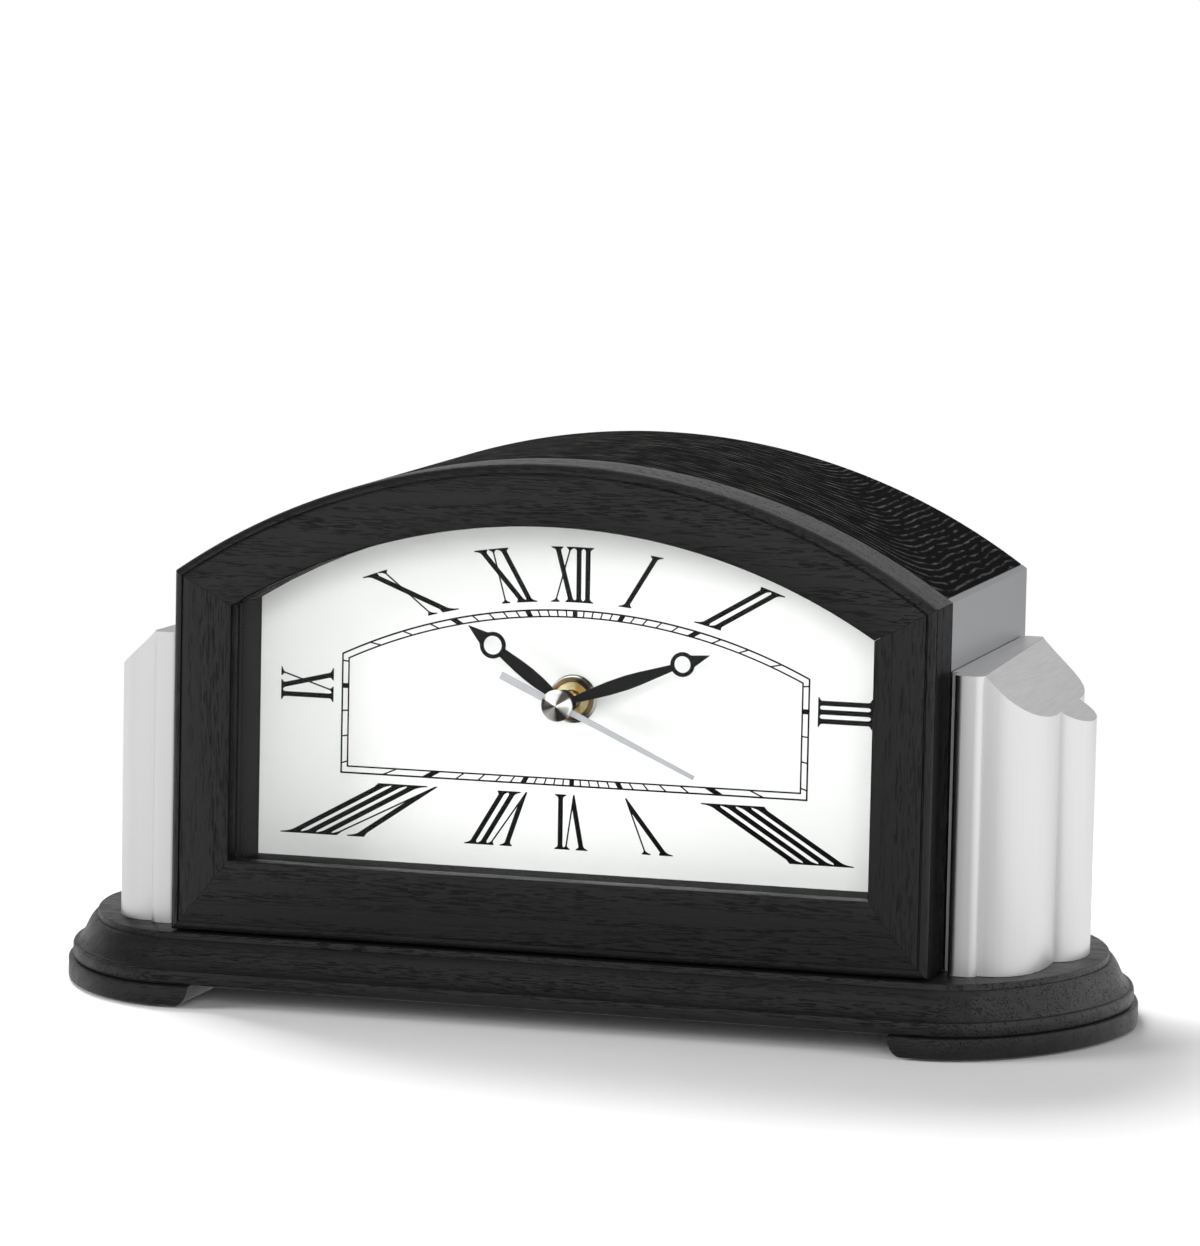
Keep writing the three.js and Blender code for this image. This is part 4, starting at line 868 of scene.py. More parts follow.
@dataclass
class Frame:
    """The front frame: an arched rail, two stiles and a bottom rail, moulded outside and mitred."""

    half_width: float = 108.0
    bottom: float = 20.6
    radius: float = ARCH_RADIUS
    centre: float = ARCH_CENTRE
    rail: float = 17.0
    window_bottom: float = 41.0
    front: float = -57.0
    glass: float = -51.5
    rear: float = -37.1
    rebate: float = 5.0
    bead: float = 2.2
    mitre: float = 0.05
    bead_steps: int = 8
    arch_steps: int = 72
    side_turn: float = 0.95
    side_start: float = 107.0
    inward_turn: float = 0.01
    under_turn: float = 0.7
    front_turn: float = 0.9
    opening_start: float = 30.0

    def outer(self, inset: float, top: bool) -> tuple[float, float]:
        """Gives the right corner of the outside at an inset, at the shoulder or at the foot."""
        x = self.half_width - inset
        if not top:
            return (x, self.bottom + inset)
        return (x, self.centre + math.sqrt((self.radius - inset) ** 2 - x**2))

    def inner(self, offset: float, top: bool) -> tuple[float, float]:
        """Gives the right corner of the window at an offset into the rail."""
        x = self.half_width - self.rail + offset
        if not top:
            return (x, self.window_bottom - offset)
        reach = self.radius - self.rail + offset
        return (x, self.centre + math.sqrt(reach**2 - x**2))

    def section(self) -> list[tuple[str, float, float]]:
        """Lists the rail's section: which outline, how far from it, and the depth.

        It goes up the outside, over the bead and its fine groove, across the face and back through the rebate.
        """
        points = [("outer", 0.0, self.rear), ("outer", 0.0, self.front + self.bead)]
        for i in range(1, self.bead_steps + 1):
            angle = math.pi / 2 * i / self.bead_steps
            inset = self.bead * (1 - math.cos(angle))
            points.append(("outer", inset, self.front + self.bead * (1 - math.sin(angle))))
        points += [
            ("outer", self.bead + 0.16, self.front + 0.08),
            ("outer", self.bead + 0.32, self.front + 0.42),
            ("outer", self.bead + 0.52, self.front + 0.42),
            ("outer", self.bead + 0.7, self.front + 0.04),
            ("outer", self.bead + 0.8, self.front),
            ("inner", 0.55, self.front),
            ("inner", 0.3, self.front + 0.07),
            ("inner", 0.1, self.front + 0.25),
            ("inner", 0.0, self.front + 0.55),
            ("inner", 0.0, self.glass),
            ("inner", self.rebate, self.glass),
            ("inner", self.rebate, self.rear),
        ]
        return points

    def corner(self, point: tuple[str, float, float], top: bool) -> tuple[float, float]:
        """Gives where a point of the section meets the mitre on the right."""
        kind, distance, _ = point
        return self.outer(distance, top) if kind == "outer" else self.inner(distance, top)

    def build_stile(self, side: int) -> None:
        """Runs the section up one side."""
        section = self.section()
        rings = []
        for top in (False, True):
            lift = -self.mitre if top else self.mitre
            corners = [self.corner(point, top) for point in section]
            rings.append([(side * x, p[2], z + lift) for (x, z), p in zip(corners, section)])
        name = "frame_stile_right" if side > 0 else "frame_stile_left"
        self.finish(name, rings, OAK_Z)

    def build_bottom(self) -> None:
        """Runs the section along the foot of the frame."""
        section = self.section()
        corners = [self.corner(point, False) for point in section]
        rings = []
        for side in (-1, 1):
            rings.append([(side * (x - self.mitre), p[2], z) for (x, z), p in zip(corners, section)])
        self.finish("frame_bottom_rail", rings, OAK_X)

    def build_arch(self) -> None:
        """Runs the section over the arch."""
        section = self.section()
        rings = []
        for i in range(self.arch_steps + 1):
            share = 2 * i / self.arch_steps - 1
            ring = []
            for point in section:
                x, z = self.corner(point, True)
                reach = math.hypot(x, z - self.centre)
                angle = (math.asin(x / reach) - self.mitre / reach) * share
                place = (reach * math.sin(angle), self.centre + reach * math.cos(angle))
                ring.append((place[0], point[2], place[1]))
            rings.append(ring)
        self.finish("frame_arch_rail", rings, OAK_X)

    def finish(self, node: str, rings: list, finish: Finish) -> None:
        """Lofts a rail, lets it stand for its node and gives its outside and its opening darker, duller oak as
        painted shade.
        """
        piece = loft(node + "_moulded", rings)
        soften(piece, 0.0, angle=30.0)
        dress(piece, finish, OAK_PAINTED_SHADE)
        # The outer sides and the window opening take the darker, duller oak as painted shade.
        for face in piece.data.polygons:
            normal, middle = face.normal, face.center
            outside = abs(normal.x) > self.side_turn and abs(middle.x) > self.side_start * MM
            inwards = normal.x * middle.x < -self.inward_turn or normal.z < -self.under_turn
            opening = abs(normal.y) < self.front_turn and inwards and middle.z > self.opening_start * MM
            face.material_index = 1 if outside or opening else 0
        settle(piece, "case", "black_oak", node)

    def build(self) -> None:
        """Builds the four rails."""
        self.build_bottom()
        self.build_stile(-1)
        self.build_stile(1)
        self.build_arch()


@dataclass
class Case:
    """The case behind the frame: veneered arched top, metal cheeks, floor and battens."""

    reach: float = 106.4
    radius: float = ARCH_RADIUS
    inside: float = 181.63
    centre: float = ARCH_CENTRE
    front: float = -37.0
    rear: float = 57.0
    up_turn: float = 0.3
    steps: int = 72

    def span(self, radius: float) -> Pairs:
        """Draws the arch of one radius from right to left."""
        end = math.acos(self.reach / radius)
        return super_arc((0.0, self.centre), (radius, radius), 2.0, end, math.pi - end, self.steps)

    def build(self) -> None:
        """Builds the top finely and refines the rest."""
        outline = [*self.span(self.radius), *reversed(self.span(self.inside))]
        top = prism("case_top_board", outline, self.front, self.rear)
        soften(top, 0.35, 2, 40.0)
        dress(top, VENEER, OAK_X)
        for face in top.data.polygons:
            face.material_index = 0 if face.normal.z > self.up_turn else 1
        settle(top, "case", "oak_veneer", "case_top")
        for side in ("left", "right"):
            refine(f"case_cheek_{side}", CHEEK_METAL, "dark_aluminium", 0.15)
            dress(frame["nodes"][f"rear_batten_{side}"], PRESSED_BOARD)
        dress(frame["nodes"]["case_floor"], PRESSED_BOARD)


@dataclass
class Column:
    """A column of three lobes that step out from the case under a coved top."""

    inner: float = 108.3
    middle: float = 4.5
    bottom: float = 20.1
    top: float = 102.2
    a_width: float = 10.1
    a_depth: float = 48.7
    a_corner: float = 2.4
    a_relief: float = 2.0
    b_width: float = 15.9
    b_depth: float = 46.0
    b_power: float = 2.6
    c_width: float = 7.2
    c_depth: float = 15.0
    step: float = -36.7
    taper: float = 0.04
    cove_drop: float = 16.3
    cove_sag: float = 1.6
    cove_steps: int = 32
    cutter_margin: float = 10.0
    cutter_depth: float = 70.0
    edge_round: float = 0.32
    up_turn: float = 0.35

    def narrowed(self, x: float, y: float) -> tuple[float, float]:
        """Moves a point of the plan inwards as the column narrows towards the rear."""
        share = min(1.0, max(0.0, (x - self.inner) / self.a_width))
        return (x - self.taper * (y - self.middle + self.b_depth) * share, y)

    def half(self, inner: float) -> Pairs:
        """Draws the front half of lobes a and b from the inner side."""
        a_end = self.inner + self.a_width
        front = self.middle - self.a_depth + self.a_corner
        corner = (self.a_corner, self.a_corner)
        centre_b = (a_end, self.middle - self.c_depth)
        radii_b = (self.b_width, self.b_depth - self.c_depth)
        return [
            *super_arc((inner + self.a_corner, front), corner, 2.0, math.pi, 1.5 * math.pi, 8),
            *super_arc((a_end - self.a_corner, front), corner, 2.0, -math.pi / 2, 0.0, 12),
            *super_arc(centre_b, radii_b, self.b_power, -math.pi / 2, 0.0, 36),
        ]

    def plan(self) -> Pairs:
        """Draws the whole plan of the right column."""
        b_end = self.inner + self.a_width + self.b_width
        radii = (self.c_width, self.c_depth)
        nose = super_arc((b_end, self.middle), radii, 2.0, -math.pi / 2, math.pi / 2, 36)
        relieved = self.inner + self.a_relief
        front = [(self.inner, self.step), (relieved, self.step), *self.half(relieved)]
        rear = [(x, 2 * self.middle - y) for x, y in reversed(self.half(self.inner))]
        return [self.narrowed(x, y) for x, y in [*front, *nose[1:-1], *rear]]

    def above_cove(self) -> Piece:
        """Makes the body of air over the coved top, slanted as the column narrows."""
        start = (self.inner + self.a_width, self.top)
        end = (start[0] + self.b_width + self.c_width, self.top - self.cove_drop)
        length = math.hypot(end[0] - start[0], end[1] - start[1])
        down = ((end[1] - start[1]) / length, -(end[0] - start[0]) / length)
        curve = []
        for i in range(self.cove_steps + 1):
            share = i / self.cove_steps
            sag = 4 * self.cove_sag * share * (1 - share)
            x, z = between(start, end, share)
            curve.append((x + down[0] * sag, z + down[1] * sag))
        over, beyond = self.top + self.cutter_margin, end[0] + self.cutter_margin
        outline = [(start[0], over), *curve, (beyond, end[1]), (beyond, over)]
        notch = self.middle - self.b_depth
        rings = []
        for y in (-self.cutter_depth, self.cutter_depth):
            rings.append([(x - self.taper * (y - notch), y, z) for x, z in outline])
        return loft("cove_cutter", rings)

    def build(self, side: int) -> None:
        """Builds the right column, mirrors it for the left and dresses walls and cove apart."""
        name = "column_right" if side > 0 else "column_left"
        rings = [[(x, y, z) for x, y in self.plan()] for z in (self.bottom, self.top)]
        piece = loft(name + "_extrusion", rings)
        boolean(piece, self.above_cove(), "DIFFERENCE")
        bpy.ops.object.mode_set(mode="EDIT")
        bpy.ops.mesh.select_all(action="SELECT")
        bpy.ops.mesh.remove_doubles(threshold=0.000005)
        if side < 0:
            bpy.ops.transform.resize(value=(-1.0, 1.0, 1.0), center_override=(0.0, 0.0, 0.0))
        bpy.ops.mesh.normals_make_consistent(inside=False)
        bpy.ops.object.mode_set(mode="OBJECT")
        soften(piece, self.edge_round, 3, 40.0)
        dress(piece, COLUMN_SIDE, COLUMN_COVE)
        for face in piece.data.polygons:
            face.material_index = 1 if face.normal.z > self.up_turn else 0
        settle(piece, "case", "satin_aluminium", name)


@dataclass
class Numeral:
    """One numeral of the dial: its band and its strokes, given where they meet the band's two edges."""

    name: str
    band: str
    thick: Pairs
    thin: Pairs
    vee: tuple[float, float, float] | None = None


@dataclass
class Dial:
    """The dial: enamelled plate, printed track and numerals, glass, and the wall round it."""

    centre: float = AXIS_HEIGHT
    face: float = -30.5
    print_depth: float = 0.04
    print_root: float = 0.02
    arch_centre: float = -128.8
    inner_radius: float = 155.5
    outer_radius: float = 170.9
    bottom_inner: float = -26.9
    bottom_outer: float = -42.3
    side_inner: float = 69.6
    side_outer: float = 85.0
    thick: float = 1.38
    thin: float = 0.42
    serif: float = 0.3
    serif_reach: float = 0.95
    bracket: float = 1.35
    bracket_steps: int = 5
    bracket_power: float = 2.6
    bracket_lean: float = 0.45
    bracket_overlap: float = 0.02
    track_side: float = 67.2
    track_bottom: float = 24.6
    track_radius: float = 153.4
    track_lines: tuple = ((-0.06, 0.42), (1.78, 2.22))
    mark_ends: tuple = (1.86, 0.3)
    fifth_mark: float = 1.38
    minute_mark: float = 0.4

    def numerals(self) -> list[Numeral]:
        """Lists the twelve numerals with their strokes."""
        return [
            Numeral("XII", "top", [(-1.2, -5.4), (0.95, 0.8), (3.45, 3.4)], [(-5.7, -1.6)]),
            Numeral("I", "top", [(14.3, 23.0)], []),
            Numeral("II", "top", [(36.3, 54.5), (39.7, 57.5)], []),
            Numeral("III", "right", [(2.65, 2.65), (0.2, 0.2), (-2.35, -2.35)], []),
            Numeral("IIII", "bottom", [(40.0, 64.7), (44.4, 69.0), (48.8, 73.4), (53.0, 77.8)], []),
            Numeral("V", "bottom", [], [], (15.8, 27.3, 21.7)),
            Numeral("VI", "bottom", [(-3.1, -3.0)], [], (0.9, 3.2, -1.4)),
            Numeral("VII", "bottom", [(-19.6, -28.7), (-16.6, -25.7)], [], (-12.7, -18.6, -23.4)),
            Numeral(
                "VIII", "bottom", [(-53.9, -81.4), (-49.4, -76.9), (-44.9, -72.4)], [], (-38.6, -62.1, -69.2)
            ),
            Numeral("IX", "left", [(-3.2, -3.2), (2.9, -0.9)], [(-1.7, 3.1)]),
            Numeral("X", "top", [(-36.2, -59.3)], [(-41.2, -55.8)]),
            Numeral("XI", "top", [(-14.9, -27.4), (-12.8, -21.3)], [(-19.9, -24.1)]),
        ]

    def on_band(self, band: str, along: float, share: float) -> Vector:
        """Gives a point of a band from its place along it and its share from the inner edge to the outer."""
        if band == "top":
            radius = self.inner_radius + (self.outer_radius - self.inner_radius) * share
            return Vector((along, self.arch_centre + math.sqrt(radius**2 - along**2)))
        if band == "bottom":
            return Vector((along, self.bottom_inner + (self.bottom_outer - self.bottom_inner) * share))
        reach = self.side_inner + (self.side_outer - self.side_inner) * share
        return Vector((reach if band == "right" else -reach, along))

    def edge_way(self, band: str, along: float, share: float) -> Vector:
        """Gives the direction of a band's edge at a place, towards growing coordinates."""
        ahead, behind = (self.on_band(band, along + step, share) for step in (0.1, -0.1))
        return (ahead - behind).normalized()

    def stroke(self, band: str, inner: float, outer: float, width: float) -> list[list[Vector]]:
        """Draws a stroke with its two serifs.

        Args:
            band: the band that it stands in.
            inner: where its middle meets the inner edge.
            outer: where its middle meets the outer edge.
            width: its width, square to it.

        Returns:
            Outlines that overlap each other.
        """
        ends = [self.on_band(band, inner, 0.0), self.on_band(band, outer, 1.0)]
        way = (ends[1] - ends[0]).normalized()
        outlines = []
        body = []
        for end, along, share in ((0, inner, 0.0), (1, outer, 1.0)):
            edge = self.edge_way(band, along, share)
            cross = abs(way.x * edge.y - way.y * edge.x)
            half = edge * (width / 2 / cross)
            body.append((ends[end] - half, ends[end] + half))
            inwards = way if end == 0 else -way
            outlines.append(self.serif_outline(ends[end], edge, inwards, half.length))
        outlines.append([body[0][0], body[0][1], body[1][1], body[1][0]])
        return outlines

    def serif_outline(self, end: Vector, edge: Vector, way: Vector, half: float) -> list[Vector]:
        """Draws a slab along the band's edge with a hollow bracket up to the stroke on either side."""
        square = Vector((-edge.y, edge.x))
        if square.dot(way) < 0:
            square = -square
        slope = way.dot(edge) / way.dot(square)
        points = []
        for side in (-1, 1):
            lean = max(0.0, -side * slope) * self.bracket_lean
            reach = half + self.serif_reach + lean
            wing = [(side * reach, 0.0), (side * reach, self.serif)]
            for i in range(1, self.bracket_steps + 1):
                share = i / self.bracket_steps
                height = self.serif + (self.bracket - self.serif) * share
                gap = (reach - half) * (1 - share) ** self.bracket_power - self.bracket_overlap
                wing.append((side * (half + gap) + slope * height, height))
            points.append(wing if side < 0 else list(reversed(wing)))
        outline = points[0] + points[1]
        return [end + edge * a + square * b for a, b in outline]

    def vee_outlines(self, band: str, apex: float, thick: float, thin: float) -> list[list[Vector]]:
        """Draws a V with its point on the band's inner edge.

        Args:
            band: the band that it stands in.
            apex: where the point is on the inner edge.
            thick: where the thick stroke's middle meets the outer edge.
            thin: where the thin stroke's middle meets the outer edge.

        Returns:
            Outlines that overlap each other.
        """
        side = 1 if thin > thick else -1
        height = abs(self.bottom_outer - self.bottom_inner)
        wide = self.thick / math.cos(math.atan((thick - apex) / height))
        fine = self.thin / math.cos(math.atan((thin - apex) / height))
        left = [apex, thick - side * wide / 2]
        right = [apex + side * wide, thick + side * wide / 2]
        hair = [apex + side * fine, thin + side * fine / 2]
        rise = (wide - fine) * side / ((hair[1] - hair[0]) - (right[1] - right[0]))
        rise = min(max(rise, 0.0), 1.0)
        meet = right[0] + (right[1] - right[0]) * rise
        broad = [(left[0], 0.0), (hair[0], 0.0), (meet, rise), (right[1], 1.0), (left[1], 1.0)]
        narrow = [(apex, 0.0), (hair[0], 0.0), (hair[1], 1.0), (thin - side * fine / 2, 1.0)]
        outlines = []
        for arm in (broad, narrow):
            outlines.append([self.on_band(band, along, share) for along, share in arm])
        for end, half in ((thick, wide / 2), (thin, fine / 2)):
            foot = self.on_band(band, end, 1.0)
            way = (self.on_band(band, apex, 0.0) - foot).normalized()
            outlines.append(self.serif_outline(foot, self.edge_way(band, end, 1.0), way, half))
        return outlines

    def layer(self, name: str, outline: list, over: float = 0.0) -> Piece:
        """Makes a thin layer of ink from an outline about the axis.

        Args:
            name: the new piece's name.
            outline: its points, across and up from the axis.
            over: how far it goes past the ink at the front and the rear.

        Returns:
            The layer.
        """
        placed = [(x, z + self.centre) for x, z in outline]
        return prism(name, placed, self.face - self.print_depth - over, self.face + self.print_root + over)

    def printed(self, name: str, outlines: list[list[Vector]]) -> Piece:
        """Makes one thin printed piece from overlapping outlines."""
        pieces = [self.layer(name, outline) for outline in outlines]
        if len(pieces) == 1:
            return pieces[0]
        last = pieces.pop()
        whole = joined(pieces) if len(pieces) > 1 else pieces[0]
        settings = {"object": last, "operation": "UNION", "solver": "EXACT", "use_self": True}
        put_on(whole, "BOOLEAN", settings)
        bpy.data.objects.remove(last)
        return whole

    def build_numerals(self) -> None:
        """Prints the twelve numerals."""
        for numeral in self.numerals():
            outlines = []
            for inner, outer in numeral.thick:
                outlines += self.stroke(numeral.band, inner, outer, self.thick)
            for inner, outer in numeral.thin:
                outlines += self.stroke(numeral.band, inner, outer, self.thin)
            if numeral.vee:
                outlines += self.vee_outlines(numeral.band, *numeral.vee)
            piece = self.printed("numeral_" + numeral.name, outlines)
            dress(piece, DIAL_INK)
            settle(piece, "case", "black_paint")

    def track_outline(self, inset: float) -> Pairs:
        """Draws the minute track's outline at an inset from its outside."""
        side = self.track_side - inset
        radius = self.track_radius - inset
        end = math.acos(side / radius)
        arch = super_arc((0.0, self.arch_centre), (radius, radius), 2.0, end, math.pi - end, 60)
        bottom = -self.track_bottom + inset
        return [(-side, bottom), (side, bottom), *arch]

    def line_round(self, outer: float, inner: float) -> Piece:
        """Prints one closed line of the track between two insets."""
        line = self.layer("track_line", self.track_outline(outer))
        boolean(line, self.layer("track_hole", self.track_outline(inner), over=1.0), "DIFFERENCE")
        return line

    def reach(self, start: Vector, way: Vector, inset: float) -> float:
        """Gives how far a ray from near the middle goes before it meets the track's outline."""
        side = self.track_side - inset
        bottom = self.track_bottom - inset
        radius = self.track_radius - inset
        reaches = []
        if abs(way.x) > 1e-6:
            reaches.append((math.copysign(side, way.x) - start.x) / way.x)
        if way.y < -1e-6:
            reaches.append((-bottom - start.y) / way.y)
        off = start - Vector((0.0, self.arch_centre))
        b = off.dot(way)
        reaches.append(-b + math.sqrt(b * b - off.dot(off) + radius**2))
        return min(reach for reach in reaches if reach > 0)

    def tick(self, minute: int) -> Piece:
        """Prints one minute mark, a wide one at each fifth minute."""
        angle = math.radians(6 * minute)
        way = Vector((math.sin(angle), math.cos(angle)))
        across = Vector((way.y, -way.x)) * ((self.minute_mark if minute % 5 else self.fifth_mark) / 2)
        near, far = self.mark_ends
        outline = []
        for side, inset in ((-1, near), (1, near), (1, far), (-1, far)):
            start = across * side
            outline.append(start + way * self.reach(start, way, inset))
        return self.layer("tick", outline)

    def build_track(self) -> None:
        """Prints the two lines of the minute track and its sixty marks as one piece."""
        pieces = [self.line_round(outer, inner) for outer, inner in self.track_lines]
        pieces += [self.tick(minute) for minute in range(60)]
        track = joined(pieces)
        track.name = "minute_track"
        dress(track, DIAL_INK)
        settle(track, "case", "black_paint")

    def build(self) -> None:
        """Dresses the plate, glass and wall, and prints the dial."""
        refine("dial_plate", DIAL_ENAMEL, "white_enamel", 0.0)
        refine("dial_glass", GLASS, "glass", 0.2)
        refine("dial_surround", WALL, "black_paint", 0.0)
        dress(frame["nodes"]["dial_backer"], PRESSED_BOARD)
        self.build_track()
        self.build_numerals()


@dataclass
class Pointer:
    """One pointed hand, drawn upright: a swelling blade, a ring and a point.

    The blade is given as pairs of a height over the axis and half its width there. The turn is its share of the
    way round the dial.
    """

    node: str
    rear: float
    turn: float
    length: float
    ring_centre: float
    ring_radius: float
    hole_radius: float
    bore: float
    point_half: float
    blade: Pairs
    hub_radius: float = 3.6
    collet: float = 0.9
    collet_height: float = 0.7
    thickness: float = 0.45


@dataclass
class Hands:
    """The hands, the seconds cap, and the nut and washer that fix the movement's bush."""

    centre: float = AXIS_HEIGHT
    hour: float = 10.0
    minute: float = 11.6
    second: float = 19.1
    bore_gap: float = 0.05
    past: float = 1.0
    cap_rear: float = -46.65
    cap_front: float = -48.75
    strip: tuple = ((-1.05, -18.0), (1.05, -18.0), (0.55, 42.9), (-0.55, 42.9))
    strip_front: float = 0.1
    strip_rear: float = 0.55
    boss_radius: float = 2.0
    boss_rise: float = 0.05
    boss_bore: float = 0.82

    def pointers(self) -> list[Pointer]:
        """Gives the hour hand and the minute hand at the photograph's time."""
        short = [(3.0, 1.0), (6.0, 1.5), (9.0, 1.82), (12.5, 1.95), (16.0, 1.85), (19.0, 1.6), (22.6, 1.3)]
        long = [(3.0, 0.8), (6.0, 1.15), (9.5, 1.48), (14.5, 1.88), (20.0, 2.0), (24.0, 1.78), (28.0, 1.4)]
        return [
            Pointer(
                node="hour_hand",
                rear=-40.1,
                turn=(self.hour + self.minute / 60) / 12,
                length=34.3,
                ring_centre=25.4,
                ring_radius=3.72,
                hole_radius=2.6,
                bore=2.4,
                point_half=2.1,
                blade=short,
            ),
            Pointer(
                node="minute_hand",
                rear=-43.1,
                turn=self.minute / 60,
                length=45.0,
                ring_centre=36.7,
                ring_radius=3.42,
                hole_radius=2.3,
                bore=1.6,
                point_half=1.85,
                blade=[*long, (34.0, 0.88)],
            ),
        ]

    def disc(self, radius: float, height: float, front: float, rear: float) -> Piece:
        """Makes a disc on the upright hand at a height over the axis."""
        return prism("disc", circle((0.0, height), radius, 48), front, rear)

    def set_to(self, hand: Piece, turn: float) -> None:
        """Turns an upright hand by a share of the way round and puts it on the axis."""
        spun = Matrix.Rotation(2 * math.pi * turn, 4, "Y")
        hand.data.transform(Matrix.Translation(Vector((0.0, 0.0, self.centre)) * MM) @ spun)

    def build_pointer(self, pointer: Pointer) -> None:
        """Cuts one hand from flat stock, rounds it a little and turns it to its time.

        Args:
            pointer: the hand's sizes.
        """
        front, rear = pointer.rear - pointer.thickness, pointer.rear
        outline = [(half, along) for along, half in pointer.blade]
        outline += [(-half, along) for along, half in reversed(pointer.blade)]
        hand = prism(pointer.node + "_cut", outline, front, rear)
        base = pointer.ring_centre + pointer.ring_radius - self.past
        point = [(-pointer.point_half, base), (pointer.point_half, base), (0.0, pointer.length)]
        boolean(hand, prism("point", point, front, rear), "UNION")
        boolean(hand, self.disc(pointer.ring_radius, pointer.ring_centre, front, rear), "UNION")
        boolean(hand, self.disc(pointer.hub_radius, 0.0, front, rear), "UNION")
        collet = self.disc(pointer.bore + pointer.collet, 0.0, front - pointer.collet_height, rear)
        boolean(hand, collet, "UNION")
        ends = (front - self.past, rear + self.past)
        boolean(hand, self.disc(pointer.hole_radius, pointer.ring_centre, *ends), "DIFFERENCE")
        boolean(hand, self.disc(pointer.bore + self.bore_gap, 0.0, *ends), "DIFFERENCE")
        soften(hand, 0.06, 2, 40.0)
        self.set_to(hand, pointer.turn)
        dress(hand, HAND_LACQUER)
        settle(hand, pointer.node, "black_paint", pointer.node)

    def build_second_hand(self) -> None:
        """Cuts the seconds hand: a strip that narrows to its tip, with a boss at the axis."""
        front, rear = self.cap_rear + self.strip_front, self.cap_rear + self.strip_rear
        hand = prism("second_hand_cut", list(self.strip), front, rear)
        boolean(hand, self.disc(self.boss_radius, 0.0, front, rear + self.boss_rise), "UNION")
        boolean(hand, self.disc(self.boss_bore, 0.0, front - self.past, rear + self.past), "DIFFERENCE")
        soften(hand, 0.05, 2, 40.0)
        self.set_to(hand, self.second / 60)
        dress(hand, HAND_SILVER)
        settle(hand, "second_hand", "steel", "second_hand")

    def build_cap(self) -> None:
        """Turns the seconds cap: a low cone on a stepped rim, bored for the arbor."""
        length = self.cap_rear - self.cap_front
        cone = [(0.0, -length), (0.5, -length + 0.02), (0.8, -length + 0.14), (3.5, -0.95)]
        rim = [(3.7, -0.86), (4.1, -0.86), (4.32, -0.78), (4.4, -0.6), (4.4, -0.12), (4.3, 0.0)]
        bore = [(0.9, 0.0), (0.9, -0.8), (0.0, -0.8)]
        cap = turned("second_cap_turned", cone + rim + bore, (0.0, self.cap_rear, self.centre), 64)
        soften(cap, 0.0, angle=30.0)
        dress(cap, TURNED_STEEL)
        settle(cap, "second_hand", "steel", "second_cap")

    def build_ring(self, node: str, profile: list, finish: Finish, slot: str) -> None:
        """Turns one ring about the dial's axis and lets it stand for its node."""
        ring = turned(node + "_turned", profile, (0.0, 0.0, self.centre), 72)
        soften(ring, 0.0, angle=30.0)
        dress(ring, finish)
        settle(ring, "case", slot, node)

    def build(self) -> None:
        """Builds the cap, the washer, the nut and the three hands."""
        self.build_cap()
        washer = [(5.0, -31.1), (6.3, -31.1), (6.6, -30.97), (6.75, -30.78), (6.75, -30.6), (5.0, -30.6)]
        self.build_ring("dial_washer", washer, TURNED_STEEL, "steel")
        nut = [(5.0, -32.3), (5.75, -32.3), (6.0, -32.15), (6.1, -31.95), (6.1, -31.2), (5.0, -31.2)]
        self.build_ring("centre_nut", nut, AGED_BRASS, "brass")
        for pointer in self.pointers():
            self.build_pointer(pointer)
        self.build_second_hand()


@dataclass
class Movement:
    """The quartz movement: housing, cover, wheels, setting knob and its cell."""

    axis_height: float = AXIS_HEIGHT
    bush_start: float = -30.4
    bush_radius: float = 5.0

    def build(self) -> None:
        """Dresses what the door hides, refines what shows when it opens, and makes the bush's front brass."""
        housing = refine("movement_housing", SMOOTH_BLACK, "black_plastic", 0.25)
        dress(housing, SMOOTH_BLACK, TURNED_BRASS)
        for face in housing.data.polygons:
            x, y, z = face.center / MM
            bush = y < self.bush_start and math.hypot(x, z - self.axis_height) < self.bush_radius
            face.material_index = 1 if bush else 0
        refine("movement_cover", SMOOTH_BLACK, "black_plastic", 0.25)
        refine("setting_knob", SMOOTH_BLACK, "black_plastic", 0.2)
        refine("cell", CELL_SLEEVE, "cell_wrap", 0.4)
        for node in ("cell_contact_positive", "cell_contact_negative", "second_arbor"):
            dress(frame["nodes"][node], SPRING_STEEL)
        for node in ("hour_wheel", "minute_arbor", "setting_wheel"):
            dress(frame["nodes"][node], TURNED_BRASS)


@dataclass
class Speakers:
    """Two loudspeakers behind slotted grilles."""

    def build(self) -> None:
        """Dresses baskets, cones, surrounds and grilles."""
        for side in ("left", "right"):
            refine(f"grille_{side}", POWDER_BLACK, "black_paint", 0.0, 3.0, join=False)
            refine(f"speaker_basket_{side}", POWDER_BLACK, "black_paint", 0.2)
            refine(f"speaker_cone_{side}", PAPER_PULP, "paper", 0.0)
            refine(f"speaker_surround_{side}", SOFT_RUBBER, "rubber", 0.0)


